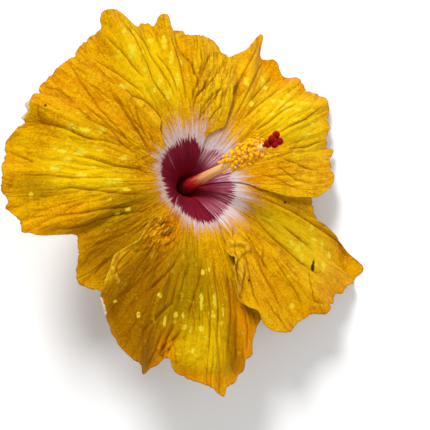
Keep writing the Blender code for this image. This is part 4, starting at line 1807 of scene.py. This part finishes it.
PETALS = (
    Petal(
        node="petal_upper_right",
        near_side=((3.6, 3), (12, 2), (18, 0), (24, -3.5), (30, -7.5), (36, -9), (42, -10), (50, -8.5),
            (57, -7)),
        far_side=((3.6, 68), (8, 70), (11, 76.5), (15, 81), (18, 83), (24, 84), (36, 83), (56, 81)),
        margin=((-7, 57.3), (-5, 60), (-0.8, 65.7), (1.2, 67.7), (4.4, 69.1), (6.4, 67.6), (7.2, 68.3),
            (10, 68.3), (12.4, 71.7), (14.4, 73.2), (15.6, 69.1), (17.2, 69.9), (18.8, 69.1), (23.2, 74.2),
            (25.6, 74.3), (26.4, 75.5), (32, 78.6), (36.8, 75.8), (39.2, 73.5), (45.6, 75.3), (49.6, 75.3),
            (54.8, 80.3), (58.8, 75.9), (60.8, 78.1), (62, 85.9), (63.6, 84.8), (64.8, 82.3), (67.2, 72),
            (70, 67.3), (74.8, 61.7), (81, 56)),
        folds=((56, 64.5, 4, 26, 74, 4.5), (47, 50, 4, 30, 70, -2.2), (30, 33, 5, 25, 75, 2.2),
            (12, 12, 5, 30, 72, -2.2), (22, 23, 3.5, 40, 75, 1.4), (39, 41, 3, 35, 75, -1.2)),
        lip_height=0.5,
        patches=(Patch(Tone.BRIGHT, 42, 54, 13, 16, 1.0), Patch(Tone.BRIGHT, 22, 60, 11, 13, 0.9),
            Patch(Tone.ORANGE, 50, 74, 14, 8, 0.7), Patch(Tone.ORANGE, 6, 36, 10, 13, 0.8),
            Patch(Tone.ORANGE, 62, 74, 5, 14, 0.5), Patch(Tone.OCHRE, -2, 52, 9, 14, 0.5),
            Patch(Tone.CRUMPLED, 5, 48, 12, 14, 0.45)),
        creases=(((63, 83), (64, 71), (65, 57), (66, 46), (66, 35), (66, 27)), ((59, 75), (59, 63),
            (59, 51), (59, 40), (60, 32)), ((47, 69), (49, 57), (51, 46), (53, 36)), ((37, 66), (39, 55),
            (39, 44), (41, 35)), ((19, 69), (18, 57), (20, 45)), ((6, 62), (7, 55), (12, 47), (17, 39)),
            ((-1, 58), (1, 47), (8, 41), (13, 36)), ((-5, 50), (-2, 42), (3, 36), (6, 29)), ((31, 75),
            (30, 62), (31, 48)), ((53, 72), (54, 58), (56, 44)), ((64.4, 35), (65.2, 38), (66, 42),
            (68, 47), (67, 50), (68.6, 53), (71.6, 56.5))),
        flecks=((54, 47, 1.1, 1.6), (54, 62, 1.4, 2.6), (41, 59, 3.2, 1.0), (39, 56, 2.4, 0.8),
            (31, 58, 3.0, 0.7), (36, 66, 2.4, 0.8), (45, 56, 2.0, 0.9), (62, 54, 0.8, 2.2),
            (47, 62, 1.6, 0.8), (24, 59, 2.4, 0.6), (41, 49, 1.8, 0.6), (31, 68, 1.6, 0.7),
            (35, 61, 1.4, 0.6), (27, 64, 1.6, 0.5)),
        rose_and_sheen=2.0),
    Petal(
        node="petal_top",
        lip_height=0.3,
        golden=0.8,
        near_side=((3.6, 74), (12, 76), (18, 79), (22, 76.5), (25, 70), (28.5, 63.5), (33, 64.5), (37, 66),
            (42, 67), (47, 69), (50, 68), (53, 69.5), (56, 72.5), (61.5, 75.5)),
        far_side=((3.6, 140), (8, 141.5), (11, 146), (15, 147), (24, 147), (66, 147)),
        margin=((75.2, 60.5), (78, 61.3), (80.4, 65.1), (82.4, 66.9), (89, 67.6), (94, 69.3), (94.4, 71.2),
            (97.2, 72.1), (98.8, 74), (99.2, 76.2), (100.4, 78.1), (102.4, 78.3), (105.2, 74.9),
            (106.8, 76.9), (108.8, 77.6), (112, 75.6), (116, 85.6), (118.4, 86.7), (121.2, 86.9),
            (122.4, 85.4), (123.2, 82), (124, 81.1), (128, 81.8), (132, 81.1), (135.6, 79.2), (136.4, 77.7),
            (141, 74), (147, 66)),
        folds=((95, 97, 3, 38, 74, -4), (102, 101, 3, 38, 78, 3), (108, 109, 3.5, 35, 78, -2),
            (117, 118, 4, 35, 86, 3), (126, 127, 4.5, 35, 80, -1.6), (86, 87, 4, 30, 68, 2)),
        patches=(Patch(Tone.BRIGHT, 114, 60, 12, 20, 1.0), Patch(Tone.BRIGHT, 106, 44, 8, 12, 0.6),
            Patch(Tone.BRIGHT, 124, 50, 6, 16, 0.6), Patch(Tone.OCHRE, 78, 46, 14, 24, 0.9),
            Patch(Tone.ORANGE, 136, 72, 7, 12, 0.6), Patch(Tone.OLIVE, 118, 38, 8, 8, 0.4),
            Patch(Tone.CRUMPLED, 78, 45, 14, 20, 0.75)),
        crests=(((97.2, 72.8), (95.2, 72.3), (94.6, 70.8), (95.8, 68.2)),),
        creases=(((117, 85), (116, 78), (115, 71), (115, 64), (115, 57), (116, 50), (114, 42), (111, 35),
            (112, 28)), ((97.8, 69.4), (97.2, 67.2), (97.3, 65.2), (97.5, 62.4)), ((131.6, 22), (130.4, 26),
            (127, 30), (123, 33), (124.6, 39.5), (126.4, 44), (129.6, 48), (131.4, 54), (134.2, 61)),
            ((90.8, 28.6), (86, 34.4), (80, 40.5), (74.2, 45.6)), ((93.9, 36.8), (88.5, 40.9), (84.7, 47.2),
            (81.1, 55.2)), ((81, 26), (76.2, 32.8), (71.4, 37.5)), ((115, 84), (114, 76), (112, 66),
            (111, 59), (109, 53), (108, 48), (107, 43), (107, 37)), ((109, 63), (107, 57), (105, 52),
            (104, 45), (104, 39)), ((101, 72), (101, 66), (100, 59), (99, 54), (99, 47), (99, 39),
            (100, 33)), ((98, 68), (96, 60), (93, 54), (91, 47), (90, 38)), ((84, 62), (86, 55), (89, 47),
            (93, 41), (98, 32)), ((77, 57), (81, 48), (87, 42), (92, 38), (97, 28)), ((74, 50), (78, 40),
            (86, 31), (92, 25)), ((132, 75), (130, 67), (128, 60), (126, 52), (123, 43)), ((112, 75),
            (112, 70), (110, 62)), ((89, 64), (88, 55), (90, 46)), ((124, 80), (122, 66), (120, 50))),
        flecks=((119, 65, 1.4, 2.4), (115, 63, 0.8, 1.4), (103, 57, 0.8, 2.4), (103, 46, 0.8, 1.8),
            (113, 48, 0.7, 2.0), (111, 41, 0.8, 2.0), (118, 45, 0.6, 1.0), (118, 75, 0.8, 1.4),
            (118, 55, 0.6, 1.0), (98, 55, 0.5, 1.4), (104, 65, 0.8, 2.6), (114, 75, 0.5, 2.9),
            (131, 55, 2.4, 1.6), (109, 68, 1.2, 1.1), (106, 36, 0.5, 1.4)),
        rose_and_sheen=0.35),
    Petal(
        node="petal_left",
        lip_height=0.0,
        golden=0.85,
        near_side=((3.6, 146), (10, 145), (15, 142), (19, 138), (24, 133), (29, 129.5), (32.5, 124.5),
            (39.5, 126), (44, 128), (48, 131.5), (54, 133), (61, 136), (70, 137), (78.4, 137)),
        far_side=((3.6, 211), (8, 213), (11, 220), (14, 227), (18, 233), (24, 234), (36, 233), (50, 231),
            (68.5, 229)),
        margin=((137, 78.4), (143.6, 80.4), (149, 81.8), (152.4, 82.6), (154.8, 81.1), (155.6, 82.7),
            (158, 83.1), (159.6, 84.5), (161.6, 82.9), (163.6, 83.8), (164.4, 82), (165.6, 83.8),
            (170, 87.2), (172.8, 88.5), (175.2, 88), (180, 89.3), (184.4, 89.4), (188.4, 87.1), (190, 88.5),
            (192.6, 85.4), (195.2, 83.9), (198, 84.6), (198.8, 81.5), (200, 79.8), (202.4, 71.2),
            (204.4, 64.4), (205.6, 62.6), (210, 64.6), (215, 68.8), (220.8, 73.6), (223.6, 72.2),
            (229, 68.5)),
        folds=((157, 160, 4.5, 45, 84, 3.9), (169, 170, 5, 30, 88, -2.4), (182, 183, 5, 30, 88, 2.4),
            (192, 194, 4, 35, 84, -1.8), (204, 206, 3.5, 28, 62, -2), (211, 213, 3.5, 32, 70, 2.2),
            (148, 147, 4, 30, 80, -1.5), (133, 134, 3.2, 26, 40, 1.3), (125.5, 127, 3.4, 27, 42, -1.0)),
        patches=(Patch(Tone.BRIGHT, 178, 58, 13, 19, 1.0), Patch(Tone.BRIGHT, 187, 42, 9, 12, 0.6),
            Patch(Tone.BRIGHT, 158, 56, 8, 12, 0.5), Patch(Tone.UMBER, 216, 52, 12, 26, 0.9),
            Patch(Tone.OLIVE, 208, 44, 14, 24, 0.7), Patch(Tone.OLIVE, 196, 34, 10, 14, 0.7),
            Patch(Tone.UMBER, 161, 77, 6, 5, 0.4), Patch(Tone.UMBER, 201, 74, 5, 10, 0.5),
            Patch(Tone.OLIVE, 184, 76, 8, 12, 0.6), Patch(Tone.ORANGE, 144, 50, 12, 26, 0.8),
            Patch(Tone.ORANGE, 150, 74, 12, 12, 0.5), Patch(Tone.ORANGE, 195, 66, 6, 18, 0.6),
            Patch(Tone.OCHRE, 130, 44.5, 2.5, 4, 1.6), Patch(Tone.OCHRE, 127, 35, 4, 3.5, 1.6),
            Patch(Tone.CRUMPLED, 208, 40, 12, 22, 0.5), Patch(Tone.CRUMPLED, 158, 30, 14, 10, 0.5)),
        creases=(((141, 74), (143, 69), (145, 62), (148, 54), (151, 45), (155, 37), (157, 29)),
            ((136.4, 57.2), (137.3, 53.6), (138.8, 48.8), (140.6, 44.3), (142.6, 39.8), (144.2, 36.1),
            (147.3, 31.9), (153.1, 28.4)), ((139.4, 32.3), (141.7, 28.4), (144.8, 24.7)), ((132.6, 46.3),
            (135.9, 42.1), (139, 38.2), (141.1, 34.6), (147.1, 30.3)), ((127.6, 41.8), (132, 40.9)),
            ((131, 48.5), (134.6, 47)), ((212.3, 60.4), (213.1, 56.6), (214.1, 51.9), (215.7, 45.9),
            (215.7, 40.2)), ((222.3, 67.2), (221.6, 62.4), (221.3, 58.6), (221.1, 55.5)), ((137, 59),
            (139, 53), (141, 46), (144, 39), (148, 31), (153, 25)), ((154, 70), (153, 63), (155, 56),
            (154, 47), (159, 39), (163, 28)), ((163, 79), (163, 75), (162, 65), (163, 55), (161, 46),
            (160, 36)), ((172, 66), (172, 51), (174, 40), (173, 29), (176, 23)), ((157, 81), (161, 78),
            (163, 75)), ((213, 21), (210, 31), (205, 41), (203, 51), (203, 57), (202, 65), (199, 76)),
            ((202, 26), (202, 38), (199, 47), (198, 56), (196, 68), (196, 77)), ((200, 22), (194, 35),
            (189, 47), (186, 60), (187, 69)), ((135, 52), (137, 46), (141, 40), (142, 34), (147, 27)),
            ((174, 87), (175, 80), (177, 74)), ((152, 81), (150, 74), (152, 64)), ((216, 30), (214, 42),
            (210, 56), (208, 62)), ((149, 66), (151, 56), (153, 46), (157, 34)), ((181, 84), (181, 70),
            (182, 55))),
        flecks=((170, 56, 2.4, 1.4), (160, 57, 2.2, 0.9), (161, 63, 1.9, 0.9), (157, 50, 1.2, 1.2),
            (174, 61, 2.2, 0.9), (178, 66, 2.4, 1.4), (181, 55, 2.0, 1.1), (184, 43, 1.0, 1.4),
            (184, 39, 2.0, 0.9), (168, 37, 1.6, 0.8), (190, 35, 1.5, 0.7), (187, 77, 0.8, 0.8),
            (167, 48, 1.3, 0.5), (171, 64, 1.9, 0.8), (204, 37, 1.2, 0.8), (204, 42, 1.2, 0.8),
            (176, 50, 1.8, 0.6), (160.5, 84.2, 1.6, 2.6)),
        specks=((158, 76.5, 0.5, 0.5),),
        pales=((160, 84, 1.2, 2.0), (162, 84.3, 1.2, 2.2), (164, 84.4, 1.2, 2.0))),
    Petal(
        node="petal_bottom",
        near_side=((3.6, 219), (11, 222), (17, 229), (21, 228), (26, 224), (31, 219.5), (36, 221.5),
            (42, 224), (48, 222.2), (54, 221.2), (59, 223.6), (67.5, 227)),
        far_side=((3.6, 284), (8, 286), (11, 292.5), (15, 298), (21, 303), (30, 303), (45, 303), (60, 302)),
        margin=((227, 67.5), (228, 69.5), (232.4, 74.9), (236, 77.6), (239.2, 80.9), (243.2, 84.2),
            (248, 86.9), (251.2, 88), (252.8, 91.8), (254.6, 88.9), (256.8, 86.4), (258.4, 83.2),
            (260, 82.6), (261.2, 86.1), (265.6, 90.4), (269, 92), (272, 94.1), (275.8, 98.7), (276.6, 95.5),
            (280, 93.6), (280.8, 91.4), (283.2, 89.5), (284.8, 85.2), (287.2, 83.8), (288.2, 79.1),
            (289.6, 76.4), (292, 72.6), (296, 68), (302, 60)),
        folds=((257, 259.5, 4, 42, 84, -4), (267, 270, 4.5, 38, 88, 2.4), (246, 247, 5, 35, 85, 2.2),
            (280, 281, 4, 45, 85, -1.8), (238, 238, 3.5, 40, 80, -1.6)),
        patches=(Patch(Tone.BRIGHT, 271, 70, 9, 19, 1.3), Patch(Tone.BRIGHT, 264, 76, 6, 9, 0.6),
            Patch(Tone.UMBER, 238, 66, 14, 36, 1.5), Patch(Tone.OLIVE, 262, 50, 16, 24, 1.2),
            Patch(Tone.UMBER, 286, 78, 8, 22, 1.3), Patch(Tone.UMBER, 262, 88, 16, 7, 0.7),
            Patch(Tone.UMBER, 240, 78, 12, 9, 1.0), Patch(Tone.ORANGE, 287, 74, 4, 18, 1.4),
            Patch(Tone.ORANGE, 257, 79, 4, 8, 1.2), Patch(Tone.CRUMPLED, 257, 80, 5, 7, 0.6),
            Patch(Tone.OCHRE, 223.5, 62, 4, 6, 0.7), Patch(Tone.ORANGE, 228, 26, 8, 10, 1.0),
            Patch(Tone.OCHRE, 224, 62, 4, 10, 0.6), Patch(Tone.ORANGE, 268, 92, 14, 5, 0.6),
            Patch(Tone.CRUMPLED, 233, 30, 13, 12, 1.5), Patch(Tone.ORANGE, 236, 27, 12, 9, 2.2)),
        crests=(((221.5, 47.1), (222.8, 44.7), (223.4, 41.7), (222.4, 40)), ((221.4, 52.6), (222, 55.2),
            (222.9, 57.2), (223, 59.1)), ((223.2, 59.8), (225.9, 59.4), (228.1, 60.3), (230, 61.1),
            (231.5, 62.3)), ((219.5, 30.0), (219.8, 27.5), (225.2, 26.6), (225.7, 29.1)), ((231.6, 32.4),
            (236.8, 29.7), (240.5, 25.7)), ((221.6, 33.7), (220.9, 31.3), (217.8, 30.5))),
        creases=(((252, 29), (245, 40), (241, 49), (238, 57), (235, 65), (233, 70)), ((224.9, 33.6),
            (230, 32), (233.9, 29.1), (238.2, 25.8)), ((223.8, 30.2), (228.9, 28.8), (232.9, 24.6)),
            ((235.4, 33.1), (239.6, 30.4), (242.6, 26.8)), ((240.4, 36.5), (243.8, 33.3), (247.9, 29.6)),
            ((229.4, 35.4), (230.9, 38.2), (229.8, 42.4)), ((224.7, 47.5), (225.2, 53), (225.3, 56.9)),
            ((224.7, 47.5), (228.3, 46), (230.7, 43), (233.4, 39.7)), ((225, 57.2), (227.9, 58.6),
            (229.8, 59.8)), ((247.6, 48), (245.8, 51.9), (244.1, 55.8), (241.5, 60.5), (240.8, 63.1)),
            ((260, 66), (258, 74), (256.5, 84)), ((262, 70), (260, 77), (259, 82)), ((255, 70), (254.5, 80),
            (253, 89)), ((256, 33), (251, 43), (246, 53), (243, 60), (239, 69), (238, 76)), ((260, 33),
            (256, 46), (256, 59), (251, 66), (248, 74), (250, 83), (252, 89)), ((263, 67), (261, 73),
            (258, 77), (256, 81)), ((271, 34), (268, 47), (265, 57), (263, 65)), ((278, 34), (277, 47),
            (277, 60), (275, 73), (275, 86)), ((286, 37), (285, 49), (283, 62), (280, 74), (277, 89)),
            ((286, 58), (284, 69), (282, 81), (280, 90)), ((272, 42), (273, 60), (272, 73), (271, 84)),
            ((225, 45), (225, 55), (228, 63)), ((246, 36), (240, 44), (236, 55)), ((289, 62), (288, 72),
            (285, 83)), ((247, 62), (244, 74), (243, 82))),
        flecks=((269, 56, 0.8, 3.0), (276, 56, 1.3, 2.6), (259, 63, 0.8, 1.6), (262, 63, 0.5, 1.0),
            (249, 57, 1.2, 0.9), (270, 43, 0.5, 1.0), (274, 42, 0.4, 0.8), (269, 68, 1.0, 1.0),
            (274, 63, 0.6, 2.6), (255, 67, 0.6, 1.9), (244, 69, 0.6, 1.3), (250, 68, 0.6, 0.9),
            (279, 61, 0.5, 2.6), (234, 69, 1.0, 0.6), (231, 74, 0.7, 1.8)),
        pales=((230.4, 73, 0.8, 1.6), (232.2, 74.3, 0.8, 1.6), (233.4, 75.4, 0.7, 1.2))),
    Petal(
        node="petal_lower_right",
        near_side=((3.6, -69), (11, -68.5), (17, -66), (21.5, -64), (27.5, -68), (32, -69), (36, -71),
            (41, -70), (44.5, -73), (50, -73), (56.5, -74), (61.5, -71), (66, -67.3), (72, -67)),
        far_side=((3.6, -5), (8, -3), (11, 2.5), (16, 6), (24, 7), (36, 7), (50, 6)),
        margin=((-67, 72), (-63.6, 78), (-60.8, 80.6), (-57.2, 81.8), (-54.4, 80.7), (-50.4, 81.5),
            (-48.4, 82.8), (-45.6, 86.5), (-43.4, 86), (-42.6, 83.4), (-41.6, 85.6), (-40.4, 86), (-38, 85),
            (-35.6, 88.6), (-33.6, 89.2), (-30.4, 92.9), (-27, 96), (-24, 99), (-22.7, 98.4), (-21.6, 88.5),
            (-20, 80.6), (-18, 73), (-16, 63), (-13, 58.6), (-7, 56.5), (-1, 54), (6, 50)),
        folds=((-46, -44.5, 3, 42, 84, 3.5), (-53, -52, 4, 38, 80, -2.2), (-37, -38, 3, 35, 85, -1.4),
            (-30, -31, 4, 30, 88, 1.0)),
        crest_height=2.3,
        crest_width=1.2,
        patches=(Patch(Tone.BRIGHT, -27, 52, 10, 22, 1.1), Patch(Tone.BRIGHT, -34, 64, 6, 14, 0.6),
            Patch(Tone.OLIVE, -14, 50, 5, 14, 0.5), Patch(Tone.ORANGE, -56, 62, 14, 26, 0.7),
            Patch(Tone.OCHRE, -66, 40, 8, 16, 0.8), Patch(Tone.ORANGE, -40, 84, 12, 8, 0.5),
            Patch(Tone.ORANGE, -22, 84, 6, 14, 0.5), Patch(Tone.CRUMPLED, -68, 38, 8, 14, 0.45)),
        crests=(((-67, 32.4), (-62.6, 33.7), (-57.8, 35.4), (-55.3, 37.3), (-56, 39), (-58.5, 39.1)),
            ((-70.5, 37.5), (-68.8, 39), (-68.6, 40.8), (-71, 42)), ((-71.4, 42.1), (-72.6, 44.4),
            (-73, 48.4), (-73.2, 53.5), (-73, 56.5)), ((-65.5, 42.8), (-67.4, 46.8), (-71, 51),
            (-72.6, 55.2))),
        creases=(((-11, 22), (-15, 35), (-17, 49), (-19, 65), (-20, 79), (-23, 88)), ((-56.8, 39.7),
            (-63.3, 40.6), (-69.1, 42)), ((-47.3, 43), (-52.8, 47.8), (-54, 51)), ((-53.9, 25.9),
            (-56.8, 28.6), (-62.3, 32)), ((-64, 43.5), (-65.8, 47.4), (-69.7, 51.4), (-71.6, 55.4)),
            ((-26, 44), (-28, 56), (-29, 68)), ((-33, 30), (-37, 38), (-38, 49), (-38, 62), (-37, 68)),
            ((-35, 65), (-41, 70), (-45, 75), (-46, 78), (-43, 85)), ((-52, 40), (-56, 50), (-57, 63),
            (-58, 74)), ((-56, 35), (-63, 47), (-66, 58), (-66, 69)), ((-46, 46), (-48, 59), (-49, 70),
            (-51, 79)), ((-60, 31), (-70, 45), (-72, 56)), ((-48, 30), (-52, 42), (-53, 56)), ((-62, 60),
            (-61, 70), (-59, 79))),
        flecks=((-28, 39, 1.6, 0.8), (-34, 57, 1.0, 1.8), (-34, 53, 0.9, 1.6), (-29, 59, 0.9, 1.8),
            (-25, 65, 1.2, 1.8), (-24, 70, 0.9, 1.6), (-48, 61, 0.6, 1.1), (-53, 73, 0.9, 1.1),
            (-33, 73, 0.9, 1.8), (-21, 61, 0.9, 1.4), (-36, 61, 0.9, 1.8), (-26, 76, 0.9, 1.4)),
        specks=((-36.2, 68.3, 0.75, 1.5), (-34.4, 67.4, 0.45, 0.9), (-65.4, 51.3, 0.5, 0.4),
            (-4, 37, 0.5, 0.4), (-13, 43, 0.4, 0.4), (-70.3, 39.8, 0.7, 1.0)),
        pales=((-37.4, 71.2, 0.35, 0.9),),
        rose_and_sheen=0.95),
)


def main() -> None:
    """Build every piece of the bloom and its studio."""
    logging.basicConfig(level=logging.INFO, format="%(name)s: %(message)s")
    face, back = PetalFinish().material(), PetalBackFinish().material()
    made = [petal.build(face, back) for petal in PETALS]
    column = Column()
    made.append(column.build_tube(ColumnFinish().material()))
    thread = SpeckledFinish("filament", (1.0, 0.64, 0.12), (0.95, 0.50, 0.05), 2.0, 0.05, 0.5)
    pollen = SpeckledFinish("anther", (1.0, 0.66, 0.006), (1.0, 0.45, 0.001), 5.0, 0.1, 0.5)
    made += column.build_stamens(thread.material(), pollen.material())
    style = SpeckledFinish("style", (0.60, 0.10, 0.05), (0.34, 0.01, 0.01), 1.2, 0.05, 0.5)
    velvet = SpeckledFinish("velvet", (0.50, 0.0, 0.002), (0.22, 0.0, 0.0), 5.0, 0.1, 0.6)
    made += Stigmas(column).build(style.material(), velvet.material())
    made.append(Calyx().build(GreenFinish().material()))
    for piece in made:
        log.info("%s: %d faces", piece.name, len(piece.data.polygons))
    Studio().build(TableFinish().material())


if __name__ == "__main__":
    main()
